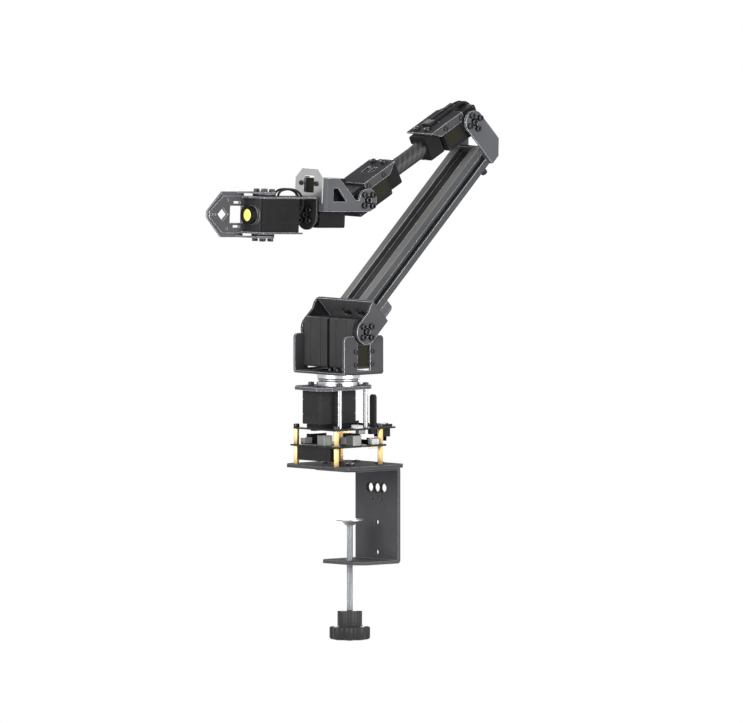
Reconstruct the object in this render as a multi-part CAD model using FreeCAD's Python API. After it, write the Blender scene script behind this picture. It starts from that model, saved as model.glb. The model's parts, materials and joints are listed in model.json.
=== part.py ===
"""Desktop robot arm on a table-edge clamp: five servo axes and a gripper, with a screw clamp below.

Frame: +X is the arm's forward side, +Y its left side, +Z up. The origin is on the turning axis of
the base, in the plane of the table top, which the clamp's upper lip rests on. Millimetres.
"""

import math
import os

import FreeCAD
import Part

V = FreeCAD.Vector
ORIGIN = V(0, 0, 0)
X_AXIS = V(1, 0, 0)
Y_AXIS = V(0, 1, 0)
Z_AXIS = V(0, 0, 1)

# Pose of the arm
arm_lean = 46.4          # upper arm leans back from upright, degrees
forearm_dip = 26.6       # forearm points below level, degrees
hand_lift = 2.7          # hand points above level, degrees
arm_reach = 234.0        # shoulder axis to elbow axis, along the upper arm
elbow_offset = 31.5      # elbow axis in front of the shoulder axis, across the upper arm
forearm_reach = 146.0    # elbow axis to wrist axis

# Fits
running_gap = 0.05       # radial play of a stub in its bore
face_gap = 0.3           # play between faces that turn past each other
hole_play = 0.2          # radial play of a screw in its hole
rounding = 1e-6          # lengths closer than this count as the same

# Servo
servo_length = 45.2
servo_width = 24.7
servo_depth = 31.0       # along the output shaft
servo_nose = 11.3        # shaft axis to the nearer end
servo_corner = 2.0
seam_from_face = 8.4
seam_inset = 0.4
seam_height = 0.6
servo_lift = 4.0         # spacer between the base servo and the board below it
spacer_inset = 3.3       # spacer's edge inside the servo's outline
stub_radius = 3.0
stub_length = 4.0
horn_radius = 10.5
horn_thickness = 3.7
horn_screw_circle = 7.0
horn_bore = 4.3          # opening in a sheet around the middle screw of a horn
horn_room = 0.8          # radial room around a turning horn

# Screws
screw_radius = 1.5
screw_head_radius = 2.75
screw_head_height = 3.0
small_head_radius = 2.2
small_head_height = 1.5

# Sheet metal
sheet = 2.0
thin_sheet = 1.5
bend_radius = 3.0

# Table clamp
clamp_sheet = 3.0
clamp_width = 58.0
clamp_height = 85.5      # table face to the underside of the lower lip
clamp_back = -50.0       # X of the spine's rear face
upper_lip_front = 9.0
lower_lip_front = 0.0
lip_chamfer = 8.0
clamp_screw_x = -14.0
lip_bolt_front = 0.0
lip_bolt_rear = -36.0
lip_bolt_y = 16.0
bolt_radius = 2.2
bolt_head_radius = 4.0
bolt_head_height = 1.6
eyelet_radius = 5.0      # three overlapping cable holes in the spine
eyelet_pitch = 9.1
eyelet_z = -17.4
pin_hole_radius = 1.2
pin_hole_pitch = 12.1
pin_hole_z = -28.0
wall_hole_radius = 2.5
wall_hole_heights = (-49.0, -76.4)
rod_radius = 3.0
rod_stub = 1.2           # end of the rod below the knob
pad_wall = 1.2
pad_hub_radius = 8.0
pad_radius = 12.5
pad_disc = 1.2
pad_height = 5.5
pad_top = -44.8          # pad face below the table face
knob_top = -128.0
knob_hub_radius = 11.3
knob_hub_height = 14.3
knob_radius = 19.0
knob_height = 12.5
knob_lobes = 8
knob_lobe_bite = 2.6
knob_lobe_radius = 5.0
knob_edge = 1.2

# Base plate, boards and their posts
base_thickness = 3.0
base_front = 33.0
base_rear = -49.0
base_half_width = 41.5
base_chamfer = 8.0
post_spacing = 54.0
post_radius = 2.6
lower_post = 17.0
upper_post = 14.0
board = 1.6
driver_board_half = 32.0
power_board_half = 30.0
power_board_rear = -45.0
board_corner = 3.5
can_length = 10.3
can_width = 10.3
can_height = 9.0
can_corner = 1.0
can_places = ((22.0, 6.0), (4.0, 25.5))       # middle of each shield can in X and Y
connector_places = (                          # X, Y, length, width and height of each connector
    (-30.0, 15.0, 9.0, 7.0, 5.5),
    (-31.0, 4.0, 7.5, 9.0, 3.4),
    (-28.0, -16.0, 8.0, 15.0, 8.5),
    (-8.0, -30.0, 20.0, 5.0, 8.5),
)
module_rear = 19.0
module_length = 12.0
module_width = 45.0
module_height = 12.5
module_corner = 1.0
switch_x = -36.5
switch_y = 19.0
switch_length = 13.0
switch_width = 8.5
switch_depth = 8.0
switch_flange = 1.2
switch_rim = 2.0
switch_wall = 1.0
switch_well = 4.5
blade = 0.8
blade_width = 4.0
blade_length = 4.0
rocker_pivot_radius = 1.2
rocker_tip = 4.2
rocker_middle = 2.8
rocker_tip_play = 0.8
antenna_x = -22.0
antenna_y = 23.0
antenna_width = 7.0
antenna_thickness = 2.4
antenna_height = 30.0
antenna_round = 0.45     # corner radius as a share of the width

# Deck that carries the turning head
deck_thickness = 3.0
deck_front = 40.0
deck_rear = -27.0
deck_half_width = 25.0
deck_chamfer = 10.0
pillar_radius = 2.2
pillar_x = 16.0
pillar_y = 19.3

# Thrust bearing under the head
bearing_radius = 20.0
bearing_bore = 12.5
race_thickness = 4.0
race_space = 3.0
cage_inset = 0.6
ball_radius = 2.3
ball_circle = 16.25
ball_count = 14
cage_thickness = 1.4
coupling_radius = 11.5

# Turning head
head_half_depth = 23.9   # along X
shoulder_room = 3.6      # end of a shoulder servo above the head's floor
back_half_gap = 1.8      # half the gap between the shoulder servos, back to back
wall_drop = 3.7          # top of the walls below the shoulder axis
wall_slot = 15.6
slot_floor = 4.0         # slot bottom above the underside of the floor
horn_relief = 2.0        # opening in the wall around a horn
wall_corner = 4.0
wall_screw_edge = 2.25   # wall screw to the servo's side
wall_screw_inset = 4.0   # lower wall screws above the servo's end
wall_screw_pitch = 12.0

# Upper arm
shoulder_horn_turn = 45.0  # screw pattern of the shoulder horns, degrees
elbow_horn_turn = 32.0   # screw pattern of the elbow horns, degrees
web_room = 0.5           # lower web clear of the head's edge
bracket_front = 14.0
bracket_back = 11.5
extrusion_width = 35.0
extrusion_depth = 20.0
extrusion_shift = -2.2   # centre of the extrusion in front of the shoulder axis
extrusion_corner = 1.0
cheek_step = 10.0        # widening of the cheeks below the web
slot_lip = 1.6
end_screw_y = 9.5
end_head_radius = 4.0
end_screw_length = 12.0
front_recess = 17.0
side_slot = 6.6
slot_depth = 5.6
elbow_drop = 10.8        # elbow axis to the end of the extrusion
elbow_pad = 10.5         # half width of the elbow cheeks
elbow_cut = 11.5         # corner cut off the cheeks at the rear
elbow_web_front = 22.5   # elbow axis to the front edge of the web
brace_leg = 11.0
brace_length = 17.0
brace_along = 33.0       # shoulder axis to the brace's lower edge
brace_cut = 5.0
bumper_radius = 3.2
bumper_height = 5.0
bumper_drop = 8.0        # bumper below the end of the extrusion
bumper_y = 13.0

# Forearm
tube_radius = 8.0
tube_wall = 1.5
cover_start = 6.0        # servo axis to the near end of a cover
cover_lap = 11.5         # cover over the clamp block
cover_skirt = 8.0
cover_slant = 9.5
cover_screw_inset = 4.5
cover_screw_y = 7.0
cover_slot_x = 26.0      # servo axis to the near end of a slot
cover_slot_y = 2.2       # middle to the near side of a slot
cover_slot_length = 9.0
cover_slot_width = 4.0
skirt_screw_inset = 3.6
skirt_screw_z = 9.4
clamp_block_room = 2.1   # clamp block beyond the servo's end
clamp_block_length = 16.0
clamp_block_half_width = 11.0
clamp_block_drop = 12.0
clamp_block_corner = 3.0
clamp_split = 1.6
tube_inset = 1.5
lead_radius = 1.6
lead_spacing = 5.5
elbow_lead_route = (      # X and Z of each lead over the elbow servo
    (29.0, 15.45), (14.0, 15.75), (-1.0, 15.45), (-10.5, 14.2), (-15.5, 8.5), (-16.4, 0.5), (-14.6, -5.0),
    (-10.6, -6.4),
)
lead_bend_share = 0.45   # part of a straight run that a bend may use
plug_length = 8.0
plug_width = 11.0
plug_height = 3.6
plug_front = 10.5        # front of the plug behind the end of the cover

# Wrist
roll_drop = 14.6         # roll axis below the wrist axis
roll_rear = 19.5         # wrist axis to the rear of the roll servo
fork_top = 20.0
fork_bottom = 10.5
fork_pad = 10.5          # round end of a fork panel about the wrist axis
fork_shoulder = 36.0     # rear end of a fork panel's top edge
fork_notch = 15.0        # wrist axis to the notch behind the round end
fork_window = ((43.0, 11.0), (37.0, 11.0), (26.0, -1.5), (43.0, -1.5))
roll_plate_half_width = 18.4
roll_plate_top = 28.0    # above the wrist axis
roll_plate_room = 1.1    # plate above the roll horn
roll_plate_cut = 9.0
roll_screw_y = 10.0
roll_screw_z = 14.4
window_half_width = 6.8
window_top = 21.5
window_bottom = 6.0

# Hand
lead_bay = 18.6          # cradle's rear plate to the gripper servo
cradle_strip = 2.2       # metal beside the jaw horn's opening
cradle_front = 18.0      # jaw pivot to the front of the cradle's plates
cradle_window_rim = 3.0  # window in front of the rear plate
cradle_window_land = 3.6  # window behind the servo
cradle_window_half = 8.5
jaw_root_gap = 0.7       # fixed jaw in front of the servo
jaw_swing_room = 1.0     # moving jaw clear of the cradle
lamp_room = 0.8          # jaw clear of the lamp
jaw_taper_start = 41.4
jaw_tip = 57.8           # jaw pivot to the tip of the fixed jaw
jaw_tip_extra = 1.5      # moving jaw beyond the fixed one
jaw_tip_half = 2.8
jaw_arm_land = 8.0       # length of the joint between an arm and the moving jaw
jaw_window = (17.0, 32.6, 7.8)                # start, end and half height
jaw_diamond = (41.4, 6.4, 6.2)               # middle, half length and half height
jaw_slot = (20.0, 28.5, 9.9, 12.0)            # start, end, lower and upper edge
jaw_holes = ((51.0, 0.0), (54.9, 0.0), (36.0, 13.0), (36.0, -13.0))
jaw_hole_radius = 1.0
lamp_radius = 8.7
lamp_length = 8.0
lamp_cup = 2.4
lens_radius = 5.7
lens_height = 1.2
wire_radius = 1.1
wire_spacing = 5.0
gripper_lead_route = (    # X and Z of each lead behind the gripper servo
    (93.5, 17.0), (93.5, 20.2), (90.0, 24.0), (82.5, 25.8), (73.0, 25.0), (66.0, 20.5), (62.8, 12.5),
    (63.5, 5.0), (69.4, 1.5), (75.5, 0.95),
)

# Reaches worked out from the servos and horns
servo_tail = servo_length - servo_nose
servo_half = servo_width / 2
horn_reach = face_gap + horn_thickness
shoulder_height = servo_tail + shoulder_room
wall_screw_x = servo_half - wall_screw_edge
web_distance = head_half_depth + web_room
clamp_block_start = servo_tail + clamp_block_room
clamp_block_end = clamp_block_start + clamp_block_length
cover_end = clamp_block_start + cover_lap
cover_half_width = servo_depth / 2 + thin_sheet
roll_face = roll_rear + servo_depth
roll_plate_bottom = horn_radius - roll_drop + roll_plate_room
cradle_rear = roll_face + horn_reach + thin_sheet
grip_pivot = cradle_rear + lead_bay + servo_tail
cradle_half_width = horn_radius + horn_room + cradle_strip
cradle_window_start = cradle_rear + cradle_window_rim
cradle_window_end = grip_pivot - servo_tail - cradle_window_land
jaw_side = lamp_radius + lamp_room     # jaw pivot to the inner face of the fixed jaw
jaw_root = servo_nose + jaw_root_gap   # jaw pivot to the rear edge of the fixed jaw
jaw_start = cradle_half_width + jaw_swing_room

# Heights worked out from the stack
base_top = clamp_sheet + base_thickness
driver_board_z = base_top + lower_post
driver_board_top = driver_board_z + board
power_board_z = driver_board_top + upper_post
power_board_top = power_board_z + board
deck_z = power_board_top + servo_lift + servo_depth
deck_top = deck_z + deck_thickness
ball_z = deck_top + race_thickness + race_space / 2
head_floor_z = deck_top + 2 * race_thickness + race_space
head_floor_top = head_floor_z + sheet
shoulder_z = head_floor_top + shoulder_height

# Widths worked out from the servos
wall_inner = servo_depth + back_half_gap
wall_outer = wall_inner + sheet
shoulder_cheek = wall_inner + horn_reach
cheek = servo_depth / 2 + horn_reach
shaft_bore = stub_radius + running_gap
rocker_pivot_z = power_board_top + switch_rim - switch_well + rocker_pivot_radius + running_gap


def alike(value, other):
    """True when two lengths are the same apart from rounding."""
    return abs(value - other) < rounding


def box(x0, x1, y0, y1, z0, z1):
    """Block between two corners."""
    return Part.makeBox(x1 - x0, y1 - y0, z1 - z0, V(x0, y0, z0))


def rod(radius, start, end):
    """Cylinder from one point to another."""
    run = end - start
    return Part.makeCylinder(radius, run.Length, start, run)


def prism(points, run):
    """Solid of a closed outline carried along a vector."""
    wire = Part.makePolygon(points + [points[0]])
    return Part.Face(wire).extrude(run)


def plate_xy(points, z0, z1):
    """Flat plate of an outline in X and Y."""
    return prism([V(x, y, z0) for x, y in points], V(0, 0, z1 - z0))


def plate_xz(points, y0, y1):
    """Upright plate of an outline in X and Z."""
    return prism([V(x, y0, z) for x, z in points], V(0, y1 - y0, 0))


def plate_yz(points, x0, x1):
    """Upright plate of an outline in Y and Z."""
    return prism([V(x0, y, z) for y, z in points], V(x1 - x0, 0, 0))


def rounded(solid, radius, axis):
    """Solid with its edges along an axis rounded."""
    edges = []
    for edge in solid.Edges:
        run = edge.Vertexes[-1].Point - edge.Vertexes[0].Point
        if run.Length > 0 and abs(run.normalize().dot(axis)) > 0.999:
            edges.append(edge)
    return solid.makeFillet(radius, edges)


def chamfered(x0, x1, y0, y1, cut):
    """Corners of a rectangle with its four corners cut off."""
    return [
        (x0 + cut, y0), (x1 - cut, y0), (x1, y0 + cut), (x1, y1 - cut),
        (x1 - cut, y1), (x0 + cut, y1), (x0, y1 - cut), (x0, y0 + cut),
    ]


def cut_all(solid, tools):
    """Solid less each of several tools."""
    return solid.cut(Part.Compound(tools))


def fused(solids):
    """One solid made of several that touch."""
    return solids[0].multiFuse(solids[1:]).removeSplitter()


def placed(shape, origin, pitch):
    """Shape turned about Y by an angle and moved to its origin."""
    turned = shape.copy()
    turned.rotate(ORIGIN, Y_AXIS, pitch)
    turned.translate(origin)
    return turned


def oriented(shape, axis, spin):
    """Shape built about +Z, stood along another axis and spun about it."""
    turned = shape.copy()
    turned.rotate(ORIGIN, Z_AXIS, spin)
    turned.Placement = FreeCAD.Placement(ORIGIN, FreeCAD.Rotation(Z_AXIS, axis)).multiply(turned.Placement)
    return turned


def square_circle(radius):
    """Four points of a square pattern on a circle."""
    side = radius * math.sqrt(0.5)
    return [(side, side), (-side, side), (-side, -side), (side, -side)]


def save(name, *shapes):
    """Write one node, made of one or more solids."""
    shape = shapes[0] if len(shapes) == 1 else Part.Compound(list(shapes))
    shape.exportStep(os.path.join("parts", name + ".step"))


# Standard pieces, built about +Z with the output shaft on the axis

def servo():
    """Servo case: rounded block with two seams, a bore for the output stub and a rear bore."""
    half = servo_width / 2
    case = rounded(box(-servo_nose, servo_tail, -half, half, 0, servo_depth), servo_corner, Z_AXIS)
    seams = []
    for z in (seam_from_face, servo_depth - seam_from_face - seam_height):
        ring = box(-servo_nose, servo_tail, -half, half, z, z + seam_height)
        core = rounded(
            box(
                seam_inset - servo_nose, servo_tail - seam_inset,
                seam_inset - half, half - seam_inset, z, z + seam_height,
            ),
            servo_corner, Z_AXIS,
        )
        seams.append(ring.cut(core))
    bores = [
        rod(shaft_bore, V(0, 0, servo_depth - stub_length), V(0, 0, servo_depth)),
        rod(shaft_bore, ORIGIN, V(0, 0, stub_length)),
    ]
    return cut_all(case, seams + bores)


def horn():
    """Output disc: its back faces the servo at z = 0 with a stub below, its front is horn_reach up."""
    disc = rod(horn_radius, V(0, 0, face_gap), V(0, 0, horn_reach))
    stub = rod(stub_radius, V(0, 0, running_gap - stub_length), V(0, 0, face_gap))
    holes = []
    for x, y in square_circle(horn_screw_circle):
        holes.append(rod(screw_radius, V(x, y, face_gap), V(x, y, horn_reach)))
    return cut_all(disc.fuse(stub), holes)


def horn_screws(thickness):
    """Four screws and a middle one that clamp a sheet of that thickness onto a horn."""
    top = horn_reach + thickness
    solids = []
    for x, y in square_circle(horn_screw_circle):
        head = rod(screw_head_radius, V(x, y, top), V(x, y, top + screw_head_height))
        shank = rod(screw_radius, V(x, y, face_gap), V(x, y, top))
        solids.append(head.fuse(shank))
    centre_head = rod(screw_head_radius, V(0, 0, horn_reach), V(0, 0, top + screw_head_height / 2))
    solids.append(centre_head)
    return Part.Compound(solids)


def horn_holes(thickness):
    """Cutters for the screws of a horn in a sheet of that thickness."""
    top = horn_reach + thickness
    tools = [rod(horn_bore, V(0, 0, horn_reach), V(0, 0, top))]
    for x, y in square_circle(horn_screw_circle):
        tools.append(rod(screw_radius + hole_play, V(x, y, horn_reach), V(x, y, top)))
    return Part.Compound(tools)


def turned(shape, angle):
    """Copy of a shape turned about +Z."""
    return shape.rotated(ORIGIN, Z_AXIS, angle)


def on_side(shape, side, distance):
    """Shape built about +Z, laid along +Y or -Y at a distance from the middle."""
    axis = V(0, side, 0)
    turned = oriented(shape, axis, 0)
    turned.translate(V(0, side * distance, 0))
    return turned


def both_sides(shape, distance):
    """Shape built about +Z, laid outwards on both sides."""
    return [on_side(shape, side, distance) for side in (1, -1)]


# Table clamp

def clamp_bracket():
    """C of bent sheet: upper lip on the table, spine behind its edge, lower lip with the screw's thread."""
    half = clamp_width / 2
    outline = [
        (clamp_back, clamp_sheet), (upper_lip_front, clamp_sheet), (upper_lip_front, 0),
        (clamp_back + clamp_sheet, 0), (clamp_back + clamp_sheet, clamp_sheet - clamp_height),
        (lower_lip_front, clamp_sheet - clamp_height), (lower_lip_front, -clamp_height),
        (clamp_back, -clamp_height),
    ]
    bent = plate_xz(outline, -half, half)
    corners = [
        edge for edge in bent.Edges
        if alike(edge.CenterOfMass.x, clamp_back) and alike(edge.Length, clamp_width)
    ]
    bent = bent.makeFillet(bend_radius, corners)
    for front in (upper_lip_front, lower_lip_front):
        z0, z1 = (0, clamp_sheet) if front == upper_lip_front else (-clamp_height, clamp_sheet - clamp_height)
        for side in (1, -1):
            corner = [
                (front, side * half),
                (front - lip_chamfer, side * half),
                (front, side * (half - lip_chamfer)),
            ]
            bent = bent.cut(plate_xy(corner, z0, z1))
    spine_front = clamp_back + clamp_sheet
    tools = [
        rod(rod_radius + running_gap, V(clamp_screw_x, 0, -clamp_height),
            V(clamp_screw_x, 0, clamp_sheet - clamp_height)),
    ]
    for y in (-eyelet_pitch, 0, eyelet_pitch):
        tools.append(rod(eyelet_radius, V(clamp_back, y, eyelet_z), V(spine_front, y, eyelet_z)))
    for y in (-pin_hole_pitch / 2, pin_hole_pitch / 2):
        tools.append(rod(pin_hole_radius, V(clamp_back, y, pin_hole_z), V(spine_front, y, pin_hole_z)))
    for z in wall_hole_heights:
        tools.append(rod(wall_hole_radius, V(clamp_back, 0, z), V(spine_front, 0, z)))
    for x, y in lip_bolts():
        tools.append(rod(bolt_radius, V(x, y, 0), V(x, y, clamp_sheet)))
    return cut_all(bent, tools)


def lip_bolts():
    """Places of the four bolts that hold the base plate on the upper lip."""
    return [(x, y) for x in (lip_bolt_front, lip_bolt_rear) for y in (lip_bolt_y, -lip_bolt_y)]


def clamp_pad():
    """Swivel foot of the clamp screw: flat disc on a conical hub with a socket for the screw's end."""
    under = pad_top - pad_disc
    disc = rod(pad_radius, V(clamp_screw_x, 0, under), V(clamp_screw_x, 0, pad_top))
    hub = Part.makeCone(
        rod_radius + pad_wall, pad_hub_radius, pad_height - pad_disc,
        V(clamp_screw_x, 0, pad_top - pad_height),
    )
    socket = rod(
        rod_radius + running_gap, V(clamp_screw_x, 0, pad_top - pad_height), V(clamp_screw_x, 0, under),
    )
    return disc.fuse(hub).cut(socket)


def clamp_rod():
    """Plain core of the clamp's threaded rod, from the pad's socket to the bottom of the knob."""
    top = pad_top - pad_disc - running_gap
    return rod(rod_radius, V(clamp_screw_x, 0, knob_top - knob_hub_height - knob_height - rod_stub),
               V(clamp_screw_x, 0, top))


def clamp_knob():
    """Star knob: round hub above a lobed grip, bored for the rod."""
    grip_top = knob_top - knob_hub_height
    bottom = grip_top - knob_height
    hub = rod(knob_hub_radius, V(clamp_screw_x, 0, grip_top), V(clamp_screw_x, 0, knob_top))
    grip = rod(knob_radius, V(clamp_screw_x, 0, bottom), V(clamp_screw_x, 0, grip_top))
    grip = grip.makeChamfer(knob_edge, [e for e in grip.Edges if e.Closed])
    tools = []
    for step in range(knob_lobes):
        angle = 2 * math.pi * step / knob_lobes
        reach = knob_radius + knob_lobe_radius - knob_lobe_bite
        x = clamp_screw_x + reach * math.cos(angle)
        y = reach * math.sin(angle)
        tools.append(rod(knob_lobe_radius, V(x, y, bottom), V(x, y, grip_top)))
    bore = rod(rod_radius, V(clamp_screw_x, 0, bottom), V(clamp_screw_x, 0, knob_top))
    return fused([hub, cut_all(grip, tools)]).cut(bore)


# Base plate, boards and posts

def base_plate():
    """Octagonal plate on the clamp's upper lip."""
    plate = plate_xy(
        chamfered(base_rear, base_front, -base_half_width, base_half_width, base_chamfer),
        clamp_sheet, base_top,
    )
    holes = [rod(bolt_radius, V(x, y, clamp_sheet), V(x, y, base_top)) for x, y in lip_bolts()]
    holes += [rod(screw_radius, V(x, y, clamp_sheet), V(x, y, base_top)) for x, y in post_places()]
    return cut_all(plate, holes)


def lip_bolt_set():
    """Low-headed bolts through the base plate and the clamp's lip."""
    solids = []
    for x, y in lip_bolts():
        shank = rod(bolt_radius - hole_play, V(x, y, 0), V(x, y, base_top))
        head = rod(bolt_head_radius, V(x, y, base_top), V(x, y, base_top + bolt_head_height))
        solids.append(shank.fuse(head))
    return solids


def post_places():
    """Corners of the square that the hexagonal posts stand on."""
    half = post_spacing / 2
    return [(half, half), (-half, half), (-half, -half), (half, -half)]


def hex_posts(z0, z1, tail):
    """Four hexagonal posts, with a threaded tail below each."""
    posts = []
    for x, y in post_places():
        corners = []
        for step in range(6):
            angle = math.radians(60 * step + 30)
            corners.append((x + post_radius * math.cos(angle), y + post_radius * math.sin(angle)))
        stud = rod(screw_radius - hole_play, V(x, y, z0 - tail), V(x, y, z0))
        posts.append(plate_xy(corners, z0, z1).fuse(stud))
    return posts


def post_holes(z0, z1):
    """Cutters for the posts' threaded tails."""
    return [rod(screw_radius, V(x, y, z0), V(x, y, z1)) for x, y in post_places()]


def driver_board():
    """Square circuit board on the lower posts."""
    half = driver_board_half
    panel = rounded(box(-half, half, -half, half, driver_board_z, driver_board_top), board_corner, Z_AXIS)
    return cut_all(panel, post_holes(driver_board_z, driver_board_top))


def shield_cans():
    """Two metal shield cans on the driver board."""
    cans = []
    for x, y in can_places:
        can = box(
            x - can_length / 2, x + can_length / 2, y - can_width / 2, y + can_width / 2,
            driver_board_top, driver_board_top + can_height,
        )
        cans.append(rounded(can, can_corner, Z_AXIS))
    return cans


def board_connectors():
    """Pin sockets and ports along the rear edge of the driver board."""
    solids = []
    for x, y, length, width, height in connector_places:
        solids.append(box(x, x + length, y, y + width, driver_board_top, driver_board_top + height))
    return solids


def power_module():
    """Converter block that hangs under the front of the driver board."""
    block = box(
        module_rear, module_rear + module_length, -module_width / 2, module_width / 2,
        driver_board_z - module_height, driver_board_z,
    )
    return rounded(block, module_corner, Z_AXIS)


def power_board():
    """Upper board on the upper posts, longer at the rear, where the switch sits in its cut-out."""
    half = power_board_half
    panel = rounded(
        box(power_board_rear, half, -half, half, power_board_z, power_board_top), board_corner, Z_AXIS,
    )
    tools = post_holes(power_board_z, power_board_top)
    for x, y in pillar_places():
        tools.append(rod(screw_radius, V(x, y, power_board_z), V(x, y, power_board_top)))
    tools.append(switch_box(0, power_board_z, power_board_top))
    return cut_all(panel, tools)


def switch_box(inset, z0, z1):
    """Block on the switch's place, drawn in by an inset."""
    half_x = switch_length / 2 - inset
    half_y = switch_width / 2 - inset
    return box(switch_x - half_x, switch_x + half_x, switch_y - half_y, switch_y + half_y, z0, z1)


def switch_body():
    """Rocker switch case: flange on the board, case through it, two blades below, open on top."""
    floor = power_board_z - switch_depth
    flange = switch_box(-switch_flange, power_board_top, power_board_top + switch_rim)
    case = switch_box(hole_play, floor, power_board_top)
    blades = []
    for side in (1, -1):
        x = switch_x + side * switch_length / 4
        blades.append(box(x - blade / 2, x + blade / 2, switch_y - blade_width / 2,
                          switch_y + blade_width / 2, floor - blade_length, floor))
    well = switch_box(switch_wall, power_board_top + switch_rim - switch_well, power_board_top + switch_rim)
    return fused([flange, case] + blades).cut(well)


def switch_rocker():
    """Rocker of the switch: a shallow V of two flats over a half-round pivot."""
    z = rocker_pivot_z
    half_x = switch_length / 2 - switch_wall - face_gap - rocker_tip_play
    half_y = switch_width / 2 - switch_wall - face_gap
    outline = [
        (switch_x - half_x, z), (switch_x + half_x, z), (switch_x + half_x, z + rocker_tip),
        (switch_x, z + rocker_middle), (switch_x - half_x, z + rocker_tip),
    ]
    slab = plate_xz(outline, switch_y - half_y, switch_y + half_y)
    pivot = rod(rocker_pivot_radius, V(switch_x, switch_y - half_y, z), V(switch_x, switch_y + half_y, z))
    return fused([slab, pivot])


def antenna():
    """Flat stick aerial with a rounded top, standing on the power board."""
    stick = box(
        antenna_x - antenna_thickness / 2, antenna_x + antenna_thickness / 2,
        antenna_y - antenna_width / 2, antenna_y + antenna_width / 2,
        power_board_top, power_board_top + antenna_height,
    )
    tip = power_board_top + antenna_height
    top = [
        edge for edge in stick.Edges
        if alike(edge.CenterOfMass.z, tip) and alike(edge.Length, antenna_thickness)
    ]
    return stick.makeFillet(antenna_width * antenna_round, top)


# Deck, pillars and thrust bearing

def pillar_places():
    """Places of the four pillars between the power board and the deck."""
    return [(x, y) for x in (pillar_x, -pillar_x) for y in (pillar_y, -pillar_y)]


def pillars():
    """Round pillars with a threaded tail in the power board."""
    solids = []
    for x, y in pillar_places():
        post = rod(pillar_radius, V(x, y, power_board_top), V(x, y, deck_z))
        stud = rod(screw_radius - hole_play, V(x, y, power_board_z), V(x, y, power_board_top))
        solids.append(post.fuse(stud))
    return solids


def deck():
    """Octagonal deck over the base servo, with a hole that its output disc turns in."""
    plate = plate_xy(
        chamfered(deck_rear, deck_front, -deck_half_width, deck_half_width, deck_chamfer), deck_z, deck_top,
    )
    tools = [rod(horn_radius + face_gap, V(0, 0, deck_z), V(0, 0, deck_top))]
    for x, y in pillar_places():
        tools.append(rod(screw_radius, V(x, y, deck_z), V(x, y, deck_top)))
    return cut_all(plate, tools)


def deck_screws():
    """Cap screws through the deck into the pillars."""
    solids = []
    for x, y in pillar_places():
        shank = rod(screw_radius - hole_play, V(x, y, deck_z), V(x, y, deck_top))
        head = rod(screw_head_radius, V(x, y, deck_top), V(x, y, deck_top + screw_head_height))
        solids.append(shank.fuse(head))
    return solids


def bearing_race(z, groove_z):
    """Bearing ring with a ball groove, from z upwards."""
    ring = rod(bearing_radius, V(0, 0, z), V(0, 0, z + race_thickness))
    bore = rod(bearing_bore, V(0, 0, z), V(0, 0, z + race_thickness))
    groove = Part.makeTorus(ball_circle, ball_radius + running_gap, V(0, 0, groove_z))
    return cut_all(ring, [bore, groove])


def bearing_cage(z):
    """Flat cage ring with a pocket for each ball."""
    half = cage_thickness / 2
    ring = rod(bearing_radius - cage_inset, V(0, 0, z - half), V(0, 0, z + half))
    tools = [rod(bearing_bore + cage_inset, V(0, 0, z - half), V(0, 0, z + half))]
    for x, y in ball_places():
        tools.append(rod(ball_radius + running_gap, V(x, y, z - half), V(x, y, z + half)))
    return cut_all(ring, tools)


def ball_places():
    """Centres of the balls on their circle."""
    places = []
    for step in range(ball_count):
        angle = 2 * math.pi * step / ball_count
        places.append((ball_circle * math.cos(angle), ball_circle * math.sin(angle)))
    return places


# Turning head

def head_bracket():
    """U of bent sheet: floor on the bearing, two walls with a slot and a round opening for the horns."""
    wall_top = shoulder_z - wall_drop
    floor = box(-head_half_depth, head_half_depth, -wall_outer, wall_outer, head_floor_z, head_floor_top)
    solids = [floor]
    for side in (1, -1):
        wall = box(
            -head_half_depth, head_half_depth, *sorted((side * wall_inner, side * wall_outer)),
            head_floor_z, wall_top,
        )
        upper = [
            edge for edge in wall.Edges
            if alike(edge.CenterOfMass.z, wall_top) and alike(edge.Length, sheet)
        ]
        wall = wall.makeFillet(wall_corner, upper)
        opening = rod(
            horn_radius + horn_relief,
            V(0, side * wall_inner, shoulder_z),
            V(0, side * wall_outer, shoulder_z),
        )
        slot = box(
            -wall_slot / 2, wall_slot / 2, *sorted((side * wall_inner, side * wall_outer)),
            head_floor_z + slot_floor, shoulder_z,
        )
        holes = [
            rod(screw_radius, V(x, side * wall_inner, z), V(x, side * wall_outer, z))
            for x, z in wall_screws()
        ]
        solids.append(cut_all(wall, [opening, slot] + holes))
    bent = fused(solids)
    folds = [
        edge for edge in bent.Edges
        if alike(edge.CenterOfMass.z, head_floor_z) and alike(abs(edge.CenterOfMass.y), wall_outer)
    ]
    return bent.makeFillet(bend_radius, folds)


def wall_screws():
    """Places in X and Z of the screws that hold each shoulder servo in its wall."""
    low = shoulder_z - servo_tail + wall_screw_inset
    return [(x, z) for x in (wall_screw_x, -wall_screw_x) for z in (low, low + wall_screw_pitch)]


def wall_screw_heads():
    """Screw heads on the outside of both walls."""
    solids = []
    for side in (1, -1):
        for x, z in wall_screws():
            face = V(x, side * wall_outer, z)
            shank = rod(screw_radius - hole_play, V(x, side * wall_inner, z), face)
            head = rod(small_head_radius, face, face + V(0, side * small_head_height, 0))
            solids.append(shank.fuse(head))
    return solids


def shoulder_servo(side):
    """Servo standing in the head, its shaft out through one wall and its body hanging down."""
    case = oriented(servo(), V(0, side, 0), 90 * side)
    case.translate(V(0, side * (wall_inner - servo_depth), shoulder_z))
    return case


# Upper arm, in a frame at the shoulder axis: X forwards across the arm, Z along it

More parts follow.
